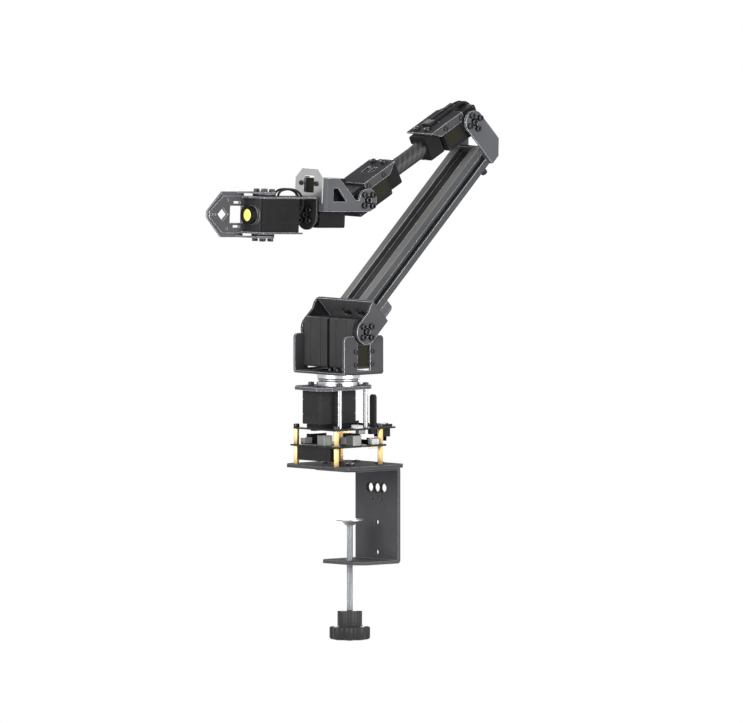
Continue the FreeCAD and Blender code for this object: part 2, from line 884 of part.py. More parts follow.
def shoulder_bracket():
    """U of bent sheet: web under the extrusion, two cheeks that end in round pads on the horns."""
    top = web_distance + sheet
    outer = shoulder_cheek + sheet
    web = box(-bracket_back, bracket_front, -outer, outer, web_distance, top)
    outline = [
        (-bracket_back, 0), (bracket_back, 0), (bracket_back, web_distance - cheek_step),
        (bracket_front, web_distance - cheek_step / 2), (bracket_front, top), (-bracket_back, top),
    ]
    solids = [web]
    for side in (1, -1):
        near, far = sorted((side * shoulder_cheek, side * outer))
        pad = rod(bracket_back, V(0, near, 0), V(0, far, 0))
        solids.append(plate_xz(outline, near, far).fuse(pad))
    bent = fused(solids)
    folds = [
        edge for edge in bent.Edges
        if alike(edge.CenterOfMass.z, top) and alike(abs(edge.CenterOfMass.y), outer)
    ]
    bent = bent.makeFillet(bend_radius, folds)
    tools = both_sides(turned(horn_holes(sheet), shoulder_horn_turn), wall_inner)
    for y in (end_screw_y, -end_screw_y):
        tools.append(rod(screw_radius, V(extrusion_shift, y, web_distance), V(extrusion_shift, y, top)))
    return cut_all(bent, tools)


def extrusion():
    """Aluminium profile with a wide recess front and back, a slot each side and two screw channels."""
    z0 = web_distance + sheet
    z1 = arm_reach - elbow_drop
    half_x = extrusion_depth / 2
    half_y = extrusion_width / 2
    bar = box(extrusion_shift - half_x, extrusion_shift + half_x, -half_y, half_y, z0, z1)
    bar = rounded(bar, extrusion_corner, Z_AXIS)
    tools = []
    for side in (1, -1):
        x0, x1 = sorted((side * half_x, side * (half_x - slot_depth)))
        tools.append(box(
            extrusion_shift + x0, extrusion_shift + x1, -front_recess / 2, front_recess / 2, z0, z1,
        ))
        y0, y1 = sorted((side * half_y, side * (half_y - slot_depth)))
        tools.append(box(extrusion_shift - side_slot / 2, extrusion_shift + side_slot / 2, y0, y1, z0, z1))
        inner = side * (half_y - slot_depth)
        y0, y1 = sorted((inner, inner + side * slot_lip))
        tools.append(box(
            extrusion_shift - side_slot / 2 - slot_lip, extrusion_shift + side_slot / 2 + slot_lip,
            y0, y1, z0, z1,
        ))
        y = side * end_screw_y
        tools.append(rod(screw_radius, V(extrusion_shift, y, z0), V(extrusion_shift, y, z1)))
    return cut_all(bar, tools)


def end_screws():
    """Screws through the two webs into the extrusion's channels."""
    solids = []
    for face, run in ((web_distance, -1), (arm_reach - elbow_drop + sheet, 1)):
        for y in (end_screw_y, -end_screw_y):
            start = V(extrusion_shift, y, face)
            head = rod(end_head_radius, start, start + V(0, 0, run * small_head_height))
            shank = rod(screw_radius - hole_play, start, start - V(0, 0, run * end_screw_length))
            solids.append(head.fuse(shank))
    return solids


def bumpers():
    """Round feet on the rear of the extrusion near its upper end."""
    rear = extrusion_shift - extrusion_depth / 2
    z = arm_reach - elbow_drop - bumper_drop
    return [rod(bumper_radius, V(rear, y, z), V(rear - bumper_height, y, z)) for y in (bumper_y, -bumper_y)]


def rear_brace():
    """Bent strip behind the lower end of the extrusion that the leads pass through."""
    back = extrusion_shift - extrusion_depth / 2
    side = extrusion_width / 2
    floor = back - brace_leg
    inner_cut = brace_cut - sheet * (2 - math.sqrt(2))
    outline = []
    for wall, end, cut, order in ((side, floor - sheet, brace_cut, 1), (side - sheet, floor, inner_cut, -1)):
        half = [(back, wall), (end + cut, wall), (end, wall - cut)]
        bend = half + [(x, -y) for x, y in reversed(half)]
        outline += bend[::order]
    return plate_xy(outline, brace_along, brace_along + brace_length)


def elbow_bracket():
    """U of bent sheet: web over the end of the extrusion, two long cheeks to the elbow axis."""
    low = arm_reach - elbow_drop
    outer = cheek + sheet
    back = extrusion_shift - extrusion_depth / 2
    axis_x = elbow_offset
    outline = [
        (axis_x, arm_reach + elbow_pad), (back + elbow_cut, arm_reach + elbow_pad),
        (back, arm_reach + elbow_pad - elbow_cut), (back, low), (axis_x, low),
    ]
    solids = [box(back, axis_x - elbow_web_front, -outer, outer, low, low + sheet)]
    for side in (1, -1):
        near, far = sorted((side * cheek, side * outer))
        pad = rod(elbow_pad, V(axis_x, near, arm_reach), V(axis_x, far, arm_reach))
        solids.append(plate_xz(outline, near, far).fuse(pad))
    bent = fused(solids)
    tools = []
    for tool in both_sides(turned(horn_holes(sheet), elbow_horn_turn), servo_depth / 2):
        tool.translate(V(axis_x, 0, arm_reach))
        tools.append(tool)
    for y in (end_screw_y, -end_screw_y):
        tools.append(rod(screw_radius, V(extrusion_shift, y, low), V(extrusion_shift, y, low + sheet)))
    return cut_all(bent, tools)


# Forearm, in a frame at the elbow axis: X along the forearm, Z above it

def forearm_servo(spin):
    """Servo with its shaft across the forearm; the spin sets which way its body lies."""
    case = oriented(servo(), Y_AXIS, spin)
    case.translate(V(0, -servo_depth / 2, 0))
    return case


def servo_cover():
    """Sheet cover that ties a servo to its tube clamp: flat top, two skirts with slanted ends."""
    top = servo_half + thin_sheet
    low = top - cover_skirt
    plate = box(cover_start, cover_end, -cover_half_width, cover_half_width, servo_half, top)
    outline = [(cover_start, top), (cover_end, top), (cover_end - cover_slant, low), (cover_start, low)]
    solids = [plate]
    for side in (1, -1):
        near, far = sorted((side * servo_depth / 2, side * cover_half_width))
        solids.append(plate_xz(outline, near, far))
    bent = fused(solids)
    tools = [rod(screw_radius, V(x, y, servo_half), V(x, y, top)) for x, y in cover_screws()]
    tools.append(rod(horn_radius + horn_room, V(0, -cover_half_width, 0), V(0, cover_half_width, 0)))
    for side in (1, -1):
        y0, y1 = sorted((side * cover_slot_y, side * (cover_slot_y + cover_slot_width)))
        tools.append(box(cover_slot_x, cover_slot_x + cover_slot_length, y0, y1, servo_half, top))
    for x in skirt_screws():
        tools.append(rod(screw_radius, V(x, -cover_half_width, skirt_screw_z),
                         V(x, -servo_depth / 2, skirt_screw_z)))
        tools.append(rod(screw_radius, V(x, servo_depth / 2, skirt_screw_z),
                         V(x, cover_half_width, skirt_screw_z)))
    return cut_all(bent, tools)


def cover_screws():
    """Places of the two screws that pull a tube clamp up to its cover."""
    x = cover_end - cover_screw_inset
    return [(x, cover_screw_y), (x, -cover_screw_y)]


def skirt_screws():
    """Places along the forearm of the screws through a cover's skirts into its servo."""
    return [cover_start + skirt_screw_inset, servo_tail - skirt_screw_inset]


def cover_fasteners():
    """Screws of one cover: two from above, two in each skirt."""
    top = servo_half + thin_sheet
    solids = []
    for x, y in cover_screws():
        shank = rod(screw_radius - hole_play, V(x, y, servo_half), V(x, y, top))
        head = rod(screw_head_radius, V(x, y, top), V(x, y, top + screw_head_height))
        solids.append(shank.fuse(head))
    for side in (1, -1):
        for x in skirt_screws():
            face = V(x, side * cover_half_width, skirt_screw_z)
            shank = rod(screw_radius - hole_play, V(x, side * servo_depth / 2, skirt_screw_z), face)
            head = rod(small_head_radius, face, face + V(0, side * small_head_height, 0))
            solids.append(shank.fuse(head))
    return solids


def tube_clamp():
    """Moulded block under a cover, bored for the tube and split below the bore."""
    block = box(
        clamp_block_start, clamp_block_end, -clamp_block_half_width, clamp_block_half_width,
        -clamp_block_drop, servo_half,
    )
    block = rounded(block, clamp_block_corner, X_AXIS)
    bore = rod(tube_radius, V(clamp_block_start, 0, 0), V(clamp_block_end, 0, 0))
    split = box(clamp_block_start, clamp_block_end, -clamp_split / 2, clamp_split / 2, -clamp_block_drop, 0)
    return cut_all(block, [bore, split])


def tube():
    """Carbon tube between the two clamps."""
    start = V(clamp_block_start + tube_inset, 0, 0)
    end = V(forearm_reach - clamp_block_start - tube_inset, 0, 0)
    return rod(tube_radius, start, end).cut(rod(tube_radius - tube_wall, start, end))


def facing_back(shape):
    """Copy for the wrist end: turned end for end along the forearm."""
    turned = shape.mirror(ORIGIN, X_AXIS)
    turned.translate(V(forearm_reach, 0, 0))
    return turned


def bent_lead(points, radius):
    """Round lead along straight runs joined by tangent arcs, each as large as its runs allow."""
    edges = []
    radii = []
    start = points[0]
    for before, corner, after in zip(points, points[1:], points[2:]):
        toward = (before - corner).normalize()
        away = (after - corner).normalize()
        trim = lead_bend_share * min((before - corner).Length, (after - corner).Length)
        half_turn = (math.pi - toward.getAngle(away)) / 2
        bend = trim / math.tan(half_turn)
        radii.append(round(bend, 1))
        enter = corner + toward * trim
        leave = corner + away * trim
        inward = (toward + away).normalize()
        middle = corner + inward * (bend / math.cos(half_turn) - bend)
        edges.append(Part.LineSegment(start, enter).toShape())
        edges.append(Part.Arc(enter, middle, leave).toShape())
        start = leave
    edges.append(Part.LineSegment(start, points[-1]).toShape())
    path = Part.Wire(edges)
    print("lead bend radii", radii)
    ring = Part.Wire(Part.Circle(points[0], points[1] - points[0], radius).toShape())
    return path.makePipeShell([ring], True, True)


def elbow_leads():
    """Two leads from a plug on the elbow cover, over the end of the elbow servo and into it."""
    top = servo_half + thin_sheet
    plug_end = cover_end - plug_front
    solids = [box(plug_end - plug_length, plug_end, -plug_width / 2, plug_width / 2, top, top + plug_height)]
    half = servo_depth / 2
    case = box(-servo_nose, servo_tail, -half, half, -servo_half, servo_half)
    for y in (lead_spacing / 2, -lead_spacing / 2):
        solids.append(bent_lead([V(x, y, z) for x, z in elbow_lead_route], lead_radius).cut(case))
    return solids


# Wrist, in a frame at the wrist axis: X along the hand, Z above it

def wrist_fork():
    """U of bent sheet: web on the roll servo's face, two panels that end in round pads on the horns."""
    front = roll_face + sheet
    outer = cheek + sheet
    outline = [
        (front, fork_top), (fork_shoulder, fork_top), (fork_notch, 0), (0, 0), (0, -fork_bottom),
        (front, -fork_bottom),
    ]
    solids = [box(roll_face, front, -outer, outer, -fork_bottom, fork_top)]
    for side in (1, -1):
        near, far = sorted((side * cheek, side * outer))
        panel = plate_xz(outline, near, far).fuse(rod(fork_pad, V(0, near, 0), V(0, far, 0)))
        solids.append(panel.cut(plate_xz(fork_window, near, far)))
    bent = fused(solids)
    folds = [
        edge for edge in bent.Edges
        if alike(edge.CenterOfMass.x, front) and alike(abs(edge.CenterOfMass.y), outer)
    ]
    bent = bent.makeFillet(bend_radius, folds)
    tools = both_sides(horn_holes(sheet), servo_depth / 2)
    tools.append(rod(horn_radius + horn_relief, V(roll_face, 0, -roll_drop), V(front, 0, -roll_drop)))
    tools.append(box(roll_face, front, -window_half_width, window_half_width, window_bottom, fork_top))
    tools += roll_plate_holes(roll_face, front)
    return cut_all(bent, tools)


def roll_plate():
    """Bright plate in front of the fork's web, its top corners cut off, with a window in the middle."""
    half = roll_plate_half_width
    top = roll_plate_top
    front = roll_face + sheet
    outline = [
        (-half, roll_plate_bottom), (half, roll_plate_bottom), (half, top - roll_plate_cut),
        (half - roll_plate_cut, top), (roll_plate_cut - half, top), (-half, top - roll_plate_cut),
    ]
    plate = plate_yz(outline, front, front + thin_sheet)
    window = box(front, front + thin_sheet, -window_half_width, window_half_width, window_bottom, window_top)
    return cut_all(plate, [window] + roll_plate_holes(front, front + thin_sheet))


def roll_plate_holes(x0, x1):
    """Cutters for the two screws of the roll plate."""
    return [
        rod(screw_radius, V(x0, y, roll_screw_z), V(x1, y, roll_screw_z))
        for y in (roll_screw_y, -roll_screw_y)
    ]


def roll_plate_screws():
    """Screws through the roll plate and the fork's web."""
    face = roll_face + sheet + thin_sheet
    solids = []
    for y in (roll_screw_y, -roll_screw_y):
        shank = rod(screw_radius - hole_play, V(roll_face, y, roll_screw_z), V(face, y, roll_screw_z))
        head = rod(small_head_radius, V(face, y, roll_screw_z), V(face + small_head_height, y, roll_screw_z))
        solids.append(shank.fuse(head))
    return solids


def roll_servo():
    """Servo behind the fork's web, its shaft forwards and its body standing up."""
    case = oriented(servo(), X_AXIS, 180)
    case.translate(V(roll_face - servo_depth, 0, -roll_drop))
    return case


# Hand, in a frame on the roll axis abreast of the wrist axis: X along the hand, Z above it

def forwards(shape, distance):
    """Shape built about +Z, laid along +X at a distance from the wrist axis."""
    turned = oriented(shape, X_AXIS, 0)
    turned.translate(V(distance, 0, 0))
    return turned


def above_and_below(shape, distance):
    """Shape built about +Z at the jaw pivot, on top of the gripper servo and mirrored below it."""
    upper = shape.copy()
    upper.translate(V(grip_pivot, 0, distance))
    return [upper, upper.mirror(ORIGIN, Z_AXIS)]


def jaw_plate(start, tip, half_height, y0, y1):
    """Pointed jaw: plate with a window, a diamond, two slots and small holes."""
    outline = [
        (start, half_height), (jaw_taper_start, half_height), (tip, jaw_tip_half),
        (tip, -jaw_tip_half), (jaw_taper_start, -half_height), (start, -half_height),
    ]
    plate = plate_xz(outline, y0, y1)
    first, last, half = jaw_window
    middle, reach, rise = jaw_diamond
    tools = [
        box(first, last, y0, y1, -half, half),
        plate_xz([(middle - reach, 0), (middle, rise), (middle + reach, 0), (middle, -rise)], y0, y1),
    ]
    first, last, low, high = jaw_slot
    tools.append(box(first, last, y0, y1, low, high))
    tools.append(box(first, last, y0, y1, -high, -low))
    for x, z in jaw_holes:
        tools.append(rod(jaw_hole_radius, V(x, y0, z), V(x, y1, z)))
    plate = cut_all(plate, tools)
    plate.translate(V(grip_pivot, 0, 0))
    return plate


def hand_cradle():
    """Bent sheet around the gripper servo: rear plate on the roll horn, top, bottom and the fixed jaw."""
    rear = roll_face + horn_reach
    half = cradle_half_width
    inner = servo_depth / 2
    outer = inner + thin_sheet
    front = grip_pivot + cradle_front
    jaw_back = jaw_side + thin_sheet
    corner = grip_pivot + jaw_root
    outline = [
        (rear, -half), (corner - half + jaw_back, -half), (corner, -jaw_back), (front, -jaw_back),
        (front, 0), (front - half / 2, half), (rear, half),
    ]
    solids = [box(rear, rear + thin_sheet, -half, half, -outer, outer)]
    for z0, z1 in ((inner, outer), (-outer, -inner)):
        leaf = plate_xy(outline, z0, z1)
        tools = [
            rod(horn_radius + horn_room, V(grip_pivot, 0, z0), V(grip_pivot, 0, z1)),
            box(cradle_window_start, cradle_window_end, -cradle_window_half, cradle_window_half, z0, z1),
        ]
        solids.append(cut_all(leaf, tools))
    solids.append(jaw_plate(jaw_root, jaw_tip, outer, -jaw_back, -jaw_side))
    bent = fused(solids)
    folds = [
        edge for edge in bent.Edges
        if alike(edge.CenterOfMass.x, rear) and alike(abs(edge.CenterOfMass.z), outer)
    ]
    bent = bent.makeFillet(thin_sheet, folds)
    return bent.cut(forwards(horn_holes(thin_sheet), roll_face))


def gripper_servo():
    """Servo across the hand, its shaft upright at the jaw pivot and its body behind it."""
    case = oriented(servo(), Z_AXIS, 180)
    case.translate(V(grip_pivot, 0, -servo_depth / 2))
    return case


def moving_jaw():
    """Bent sheet: an arm above and one below the servo, joined by the jaw behind the fixed one."""
    inner = jaw_side + thin_sheet + face_gap
    outer = inner + thin_sheet
    low = servo_depth / 2 + horn_reach
    high = low + thin_sheet
    land = jaw_start + jaw_arm_land
    outline = [
        (0, -horn_radius), (jaw_start, -outer), (land, -outer), (land, -inner),
        (horn_radius / 2, horn_radius * math.sqrt(0.75)),
    ]
    arm = fused([plate_xy(outline, 0, thin_sheet), rod(horn_radius, ORIGIN, V(0, 0, thin_sheet))])
    plate = jaw_plate(jaw_start, jaw_tip + jaw_tip_extra, high, -outer, -inner)
    bent = fused(above_and_below(arm, low) + [plate])
    return cut_all(bent, above_and_below(horn_holes(thin_sheet), servo_depth / 2))


def lamp_plate():
    """Plate in front of the gripper servo that carries the lamp."""
    start = grip_pivot + servo_nose
    half = servo_depth / 2
    return box(start, start + thin_sheet, -jaw_side, jaw_side, -half, half)


def lamp_body():
    """Round lamp barrel with a shallow cup in front."""
    start = grip_pivot + servo_nose + thin_sheet
    front = V(start + lamp_length, 0, 0)
    barrel = rod(lamp_radius, V(start, 0, 0), front)
    return barrel.cut(rod(lens_radius, V(start + lamp_length - lamp_cup, 0, 0), front))


def lamp_lens():
    """Round lens in the lamp's cup."""
    start = grip_pivot + servo_nose + thin_sheet + lamp_length - lamp_cup
    return rod(lens_radius, V(start, 0, 0), V(start + lens_height, 0, 0))


def gripper_leads():
    """Two leads that rise from the cradle, arch back and go down behind the gripper servo."""
    half = servo_depth / 2
    case = box(grip_pivot - servo_tail, grip_pivot + servo_nose, -servo_half, servo_half, -half, half)
    return [
        bent_lead([V(x, y, z) for x, z in gripper_lead_route], wire_radius).cut(case)
        for y in (wire_spacing / 2, -wire_spacing / 2)
    ]


# Pieces between the base and the head

def servo_spacer():
    """Block between the power board and the base servo."""
    half = servo_half - spacer_inset
    return box(
        spacer_inset - servo_nose, servo_tail - spacer_inset, -half, half,
        power_board_top, power_board_top + servo_lift,
    )


def board_screws():
    """Cap screws through the power board into the upper posts."""
    solids = []
    for x, y in post_places():
        shank = rod(screw_radius - hole_play, V(x, y, power_board_z), V(x, y, power_board_top))
        head = rod(screw_head_radius, V(x, y, power_board_top), V(x, y, power_board_top + screw_head_height))
        solids.append(shank.fuse(head))
    return solids


def yaw_coupling():
    """Round block between the base servo's output disc and the head's floor."""
    bottom = deck_z + horn_reach
    block = rod(coupling_radius, V(0, 0, bottom), V(0, 0, head_floor_z))
    return cut_all(block, coupling_holes(bottom, head_floor_z))


def coupling_holes(z0, z1):
    """Cutters for the four long screws of the head."""
    return [rod(screw_radius, V(x, y, z0), V(x, y, z1)) for x, y in square_circle(horn_screw_circle)]


def head_screws():
    """Long screws from the head's floor through the coupling into the output disc."""
    solids = []
    for x, y in square_circle(horn_screw_circle):
        shank = rod(screw_radius - hole_play, V(x, y, deck_z + face_gap), V(x, y, head_floor_top))
        head = rod(screw_head_radius, V(x, y, head_floor_top), V(x, y, head_floor_top + screw_head_height))
        solids.append(shank.fuse(head))
    return solids


def save_base():
    """Write the clamp, the boards, the deck and the bearing."""
    save("clamp_bracket", clamp_bracket())
    save("clamp_pad", clamp_pad())
    save("clamp_rod", clamp_rod())
    save("clamp_knob", clamp_knob())
    save("base_plate", base_plate())
    save("base_screws", *(lip_bolt_set() + board_screws() + deck_screws()))
    lower_posts = hex_posts(base_top, driver_board_z, base_thickness)
    save("board_posts", *(lower_posts + hex_posts(driver_board_top, power_board_z, board)))
    save("driver_board", driver_board())
    save("shield_cans", *shield_cans())
    save("board_connectors", *board_connectors())
    save("power_module", power_module())
    save("power_board", power_board())
    save("switch_body", switch_body())
    save("switch_rocker", switch_rocker())
    save("antenna", antenna())
    save("servo_spacer", servo_spacer())
    base_servo = servo()
    base_servo.translate(V(0, 0, power_board_top + servo_lift))
    save("base_servo", base_servo)
    save("deck_pillars", *pillars())
    save("deck", deck())
    save("lower_race", bearing_race(deck_top, ball_z))
    save("upper_race", bearing_race(head_floor_z - race_thickness, ball_z))
    save("bearing_cage", bearing_cage(ball_z))
    save("bearing_balls", *[Part.makeSphere(ball_radius, V(x, y, ball_z)) for x, y in ball_places()])


def save_head():
    """Write the turning head."""
    base_horn = horn()
    base_horn.translate(V(0, 0, deck_z))
    save("base_horn", base_horn)
    save("yaw_coupling", yaw_coupling())
    save("head_bracket", head_bracket().cut(Part.Compound(coupling_holes(head_floor_z, head_floor_top))))
    save("head_screws", *(head_screws() + wall_screw_heads()))
    save("left_shoulder_servo", shoulder_servo(1))
    save("right_shoulder_servo", shoulder_servo(-1))


def save_arm(shoulder):
    """Write the upper arm at the shoulder axis."""
    def put(name, *shapes):
        save(name, *[placed(shape, shoulder, -arm_lean) for shape in shapes])

    elbow_place = V(elbow_offset, 0, arm_reach)
    horns = both_sides(turned(horn(), shoulder_horn_turn), wall_inner)
    screws = both_sides(turned(horn_screws(sheet), shoulder_horn_turn), wall_inner) + end_screws() + bumpers()
    for shape in both_sides(turned(horn(), elbow_horn_turn), servo_depth / 2):
        horns.append(shape.translated(elbow_place))
    for shape in both_sides(turned(horn_screws(sheet), elbow_horn_turn), servo_depth / 2):
        screws.append(shape.translated(elbow_place))
    put("arm_horns", *horns)
    put("arm_screws", *screws)
    put("shoulder_bracket", shoulder_bracket())
    put("arm_extrusion", extrusion())
    put("rear_brace", rear_brace())
    put("elbow_bracket", elbow_bracket())


def save_forearm(elbow):
    """Write the forearm at the elbow axis."""
    def put(name, *shapes):
        save(name, *[placed(shape, elbow, forearm_dip) for shape in shapes])

    put("elbow_servo", forearm_servo(0))
    put("elbow_cover", servo_cover())
    put("elbow_tube_clamp", tube_clamp())
    put("carbon_tube", tube())
    put("wrist_tube_clamp", facing_back(tube_clamp()))
    put("wrist_servo", facing_back(forearm_servo(0)))
    put("wrist_cover", facing_back(servo_cover()))
    put("cover_screws", *(cover_fasteners() + [facing_back(screw) for screw in cover_fasteners()]))
    put("elbow_leads", *elbow_leads())


def save_wrist(wrist):
    """Write the wrist at its axis."""
    def put(name, *shapes):
        save(name, *[placed(shape, wrist, -hand_lift) for shape in shapes])

    put("wrist_horns", *both_sides(horn(), servo_depth / 2))
    put("wrist_fork", wrist_fork())
    put("wrist_screws", *(both_sides(horn_screws(sheet), servo_depth / 2) + roll_plate_screws()))
    put("roll_servo", roll_servo())
    put("roll_plate", roll_plate())


def save_hand(roll):
    """Write the hand and its moving jaw on the roll axis."""
    def put(name, *shapes):
        save(name, *[placed(shape, roll, -hand_lift) for shape in shapes])

    put("roll_horn", forwards(horn(), roll_face))
    put("roll_screws", forwards(horn_screws(thin_sheet), roll_face))
    put("hand_cradle", hand_cradle())
    put("gripper_servo", gripper_servo())
    put("lamp_plate", lamp_plate())
    put("lamp_body", lamp_body())
    put("lamp_lens", lamp_lens())
    put("gripper_leads", *gripper_leads())
    put("jaw_horns", *above_and_below(horn(), servo_depth / 2))
    put("moving_jaw", moving_jaw())
    put("jaw_screws", *above_and_below(horn_screws(thin_sheet), servo_depth / 2))


def along(origin, pitch, x, z):
    """Point at x and z in a frame turned about Y by an angle."""
    angle = math.radians(pitch)
    return origin + V(
        x * math.cos(angle) + z * math.sin(angle), 0, z * math.cos(angle) - x * math.sin(angle),
    )


def main():
    """Write every node."""
    os.makedirs("parts", exist_ok=True)
    shoulder = V(0, 0, shoulder_z)
    elbow = along(shoulder, -arm_lean, elbow_offset, arm_reach)
    wrist = along(elbow, forearm_dip, forearm_reach, 0)
    roll = along(wrist, -hand_lift, 0, -roll_drop)
    save_base()
    save_head()
    save_arm(shoulder)
    save_forearm(elbow)
    save_wrist(wrist)
    save_hand(roll)


main()
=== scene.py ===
import json
import math

import bmesh
import bpy
import numpy as np
from mathutils import Matrix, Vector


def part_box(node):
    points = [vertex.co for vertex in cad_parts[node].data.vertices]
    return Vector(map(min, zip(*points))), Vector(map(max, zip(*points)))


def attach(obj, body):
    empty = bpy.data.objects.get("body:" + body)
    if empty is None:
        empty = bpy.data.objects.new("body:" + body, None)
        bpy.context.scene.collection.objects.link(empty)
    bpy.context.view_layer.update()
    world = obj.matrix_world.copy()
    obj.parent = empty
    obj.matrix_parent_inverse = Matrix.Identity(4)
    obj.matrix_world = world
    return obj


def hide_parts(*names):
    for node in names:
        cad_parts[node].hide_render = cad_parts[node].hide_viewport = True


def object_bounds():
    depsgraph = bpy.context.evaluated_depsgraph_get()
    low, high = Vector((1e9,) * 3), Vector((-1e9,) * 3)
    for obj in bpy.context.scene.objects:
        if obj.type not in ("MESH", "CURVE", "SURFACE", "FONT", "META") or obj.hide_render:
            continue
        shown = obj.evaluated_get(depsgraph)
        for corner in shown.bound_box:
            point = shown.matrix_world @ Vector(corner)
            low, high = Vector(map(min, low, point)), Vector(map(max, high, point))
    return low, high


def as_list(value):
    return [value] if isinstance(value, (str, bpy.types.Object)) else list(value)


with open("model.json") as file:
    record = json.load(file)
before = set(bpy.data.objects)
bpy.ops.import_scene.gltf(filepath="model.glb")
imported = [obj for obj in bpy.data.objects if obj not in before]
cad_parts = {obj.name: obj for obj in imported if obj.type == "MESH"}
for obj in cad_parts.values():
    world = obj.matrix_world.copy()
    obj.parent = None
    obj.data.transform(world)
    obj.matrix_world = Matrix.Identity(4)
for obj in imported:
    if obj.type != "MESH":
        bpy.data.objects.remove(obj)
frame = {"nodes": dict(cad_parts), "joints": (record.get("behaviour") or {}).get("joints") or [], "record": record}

cad_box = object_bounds()
mm = 0.001
weld_distance = 1e-6

# View of the photograph
view_azimuth = 138.0
view_elevation = 4.0
photo_width = 743
pixels_per_metre = 1097.0
aim_right = 0.0302          # picture's middle from the origin, along the picture
aim_up = 0.0996
camera_distance = 3.0
shadow_reach = 0.22         # shadow starts to fade this far from the arm, and is gone after the fade
shadow_fade = 0.25
shadow_paper = 0.82         # share of the floor's own white near the arm
flattened = (1.0, 1.0, 0.0001)
knob_fall = 0.033           # knob at rest to its lowest place, and a little more
fill_strength = 0.40        # even light from all round

# Colours, linear
sheet_black = (0.068, 0.069, 0.075)
# bright edge colour: partly bare metal wear, partly painted highlight
sheet_rim_wear_and_highlight = (0.92, 0.93, 0.95)
clamp_black = (0.058, 0.058, 0.061)
# dull edge colour of the clamp and base plate: partly wear, partly painted highlight
clamp_rim_wear_and_highlight = (0.30, 0.30, 0.31)
servo_black = (0.010, 0.010, 0.0105)
# lighter copies of the servo black for the base and shoulder servos: painted light
base_servo_painted_light_black = (0.018, 0.018, 0.0185)
shoulder_servo_painted_light_black = (0.030, 0.030, 0.0302)
label_olive = (0.011, 0.0102, 0.0065)
rail_grey = (0.053, 0.054, 0.057)
# painted light: lighter tone of the rail's front flanges, where the light falls on them
rail_front_painted_light = (0.160, 0.162, 0.155)
horn_black = (0.020, 0.020, 0.022)
screw_black = (0.040, 0.040, 0.043)
brass_yellow = (0.55, 0.39, 0.168)
bright_metal = (0.47, 0.475, 0.49)
race_steel = (0.58, 0.585, 0.60)
plate_grey = (0.44, 0.44, 0.44)
cradle_black = (0.056, 0.056, 0.059)
plate_black = (0.022, 0.022, 0.023)
# darker copy of the sheet black: painted shade on the covers and the head bracket; also the base plate's colour
deep_black = (0.046, 0.046, 0.049)
zinc_grey = (0.31, 0.32, 0.335)
board_black = (0.012, 0.015, 0.014)
board_copper = (0.035, 0.05, 0.042)
can_grey = (0.22, 0.22, 0.21)
moulded_black = (0.014, 0.014, 0.0145)
lamp_black = (0.006, 0.006, 0.0063)
knob_black = (0.019, 0.019, 0.0195)
nylon_white = (0.36, 0.36, 0.345)
rubber_black = (0.008, 0.008, 0.0085)
tow_dark = (0.007, 0.007, 0.008)
tow_light = (0.034, 0.035, 0.037)
tow_gap = (0.008, 0.008, 0.008)
pin_gold = (0.83, 0.62, 0.24)
lens_yellow = (0.78, 0.725, 0.075)
lens_pale = (0.82, 0.78, 0.215)
floor_white = (0.93, 0.93, 0.935)
trace_gold = (0.55, 0.42, 0.16)
polished_black = (0.10, 0.10, 0.105)

# Rounding of the edges that catch the light
sheet_edge_radius = 0.55 * mm
rail_edge_radius = 0.8 * mm
moulded_edge_radius = 0.35 * mm
metal_edge_radius = 0.25 * mm
board_edge_radius = 0.2 * mm
edge_samples = 4
edge_start = 0.02           # an edge starts where the rounded normal has left the face's by this much
plane_fade = 0.5 * mm       # one finish turns into another over this length


def operator(operation, swap=False):
    """Method of a shade that adds one Math node."""
    def method(self, other=0.0):
        return self.maths(operation, other, swap)

    return method


class Shade:
    """One value, colour or vector in a finish. Arithmetic on it adds Math nodes."""

    def __init__(self, finish, socket):
        self.finish = finish
        self.socket = socket

    def maths(self, operation, other=0.0, swap=False, clamp=False):
        values = (other, self) if swap else (self, other)
        settings = {"operation": operation, "use_clamp": clamp}
        return self.finish.node("ShaderNodeMath", settings, dict(enumerate(values)))

    __add__ = __radd__ = operator("ADD")
    __sub__ = operator("SUBTRACT")
    __rsub__ = operator("SUBTRACT", swap=True)
    __mul__ = __rmul__ = operator("MULTIPLY")
    __truediv__ = operator("DIVIDE")
    __rtruediv__ = operator("DIVIDE", swap=True)
    __mod__ = operator("FLOORED_MODULO")
    __gt__ = operator("GREATER_THAN")
    __lt__ = operator("LESS_THAN")
    __abs__ = operator("ABSOLUTE")
    floor = operator("FLOOR")

    def clamped(self):
        return self.maths("ADD", clamp=True)

    def swing(self, width):
        """A value between 0 and 1 as a swing of this width about zero."""
        return (self - 0.5) * width


class Nodes:
    """An empty node tree, filled by one method."""

    def __init__(self, owner):
        owner.use_nodes = True
        self.tree = owner.node_tree
        self.tree.nodes.clear()

    def feed(self, socket, value):
        """Link a shade to a socket, or set the socket's own value."""
        if isinstance(value, Shade):
            self.tree.links.new(value.socket, socket)
        elif socket.type == "RGBA":
            socket.default_value = (*value, 1.0)
        else:
            socket.default_value = value

    def node(self, kind, settings=None, inputs=None, output=0):
        """Any node: its settings first, then the values or links of its sockets."""
        node = self.tree.nodes.new(kind)
        for key, value in (settings or {}).items():
            setattr(node, key, value)
        for key, value in (inputs or {}).items():
            self.feed(node.inputs[key], value)
        return Shade(self, node.outputs[output]) if node.outputs else node

    def background_rays(self):
        """1 on the rays that show the background: those of the camera, of mirrors and of glass."""
        names = ("Is Camera Ray", "Is Glossy Ray", "Is Transmission Ray")
        return sum(self.node("ShaderNodeLightPath", output=name) for name in names).clamped()

    def white_background(self, share, elsewhere, kind):
        """White light, from a node of this kind, where the share is 1, and the other shader elsewhere."""
        white = self.node(kind, {}, {"Color": (1.0, 1.0, 1.0), "Strength": 1.0})
        return self.node("ShaderNodeMixShader", {}, {0: share, 1: elsewhere, 2: white})


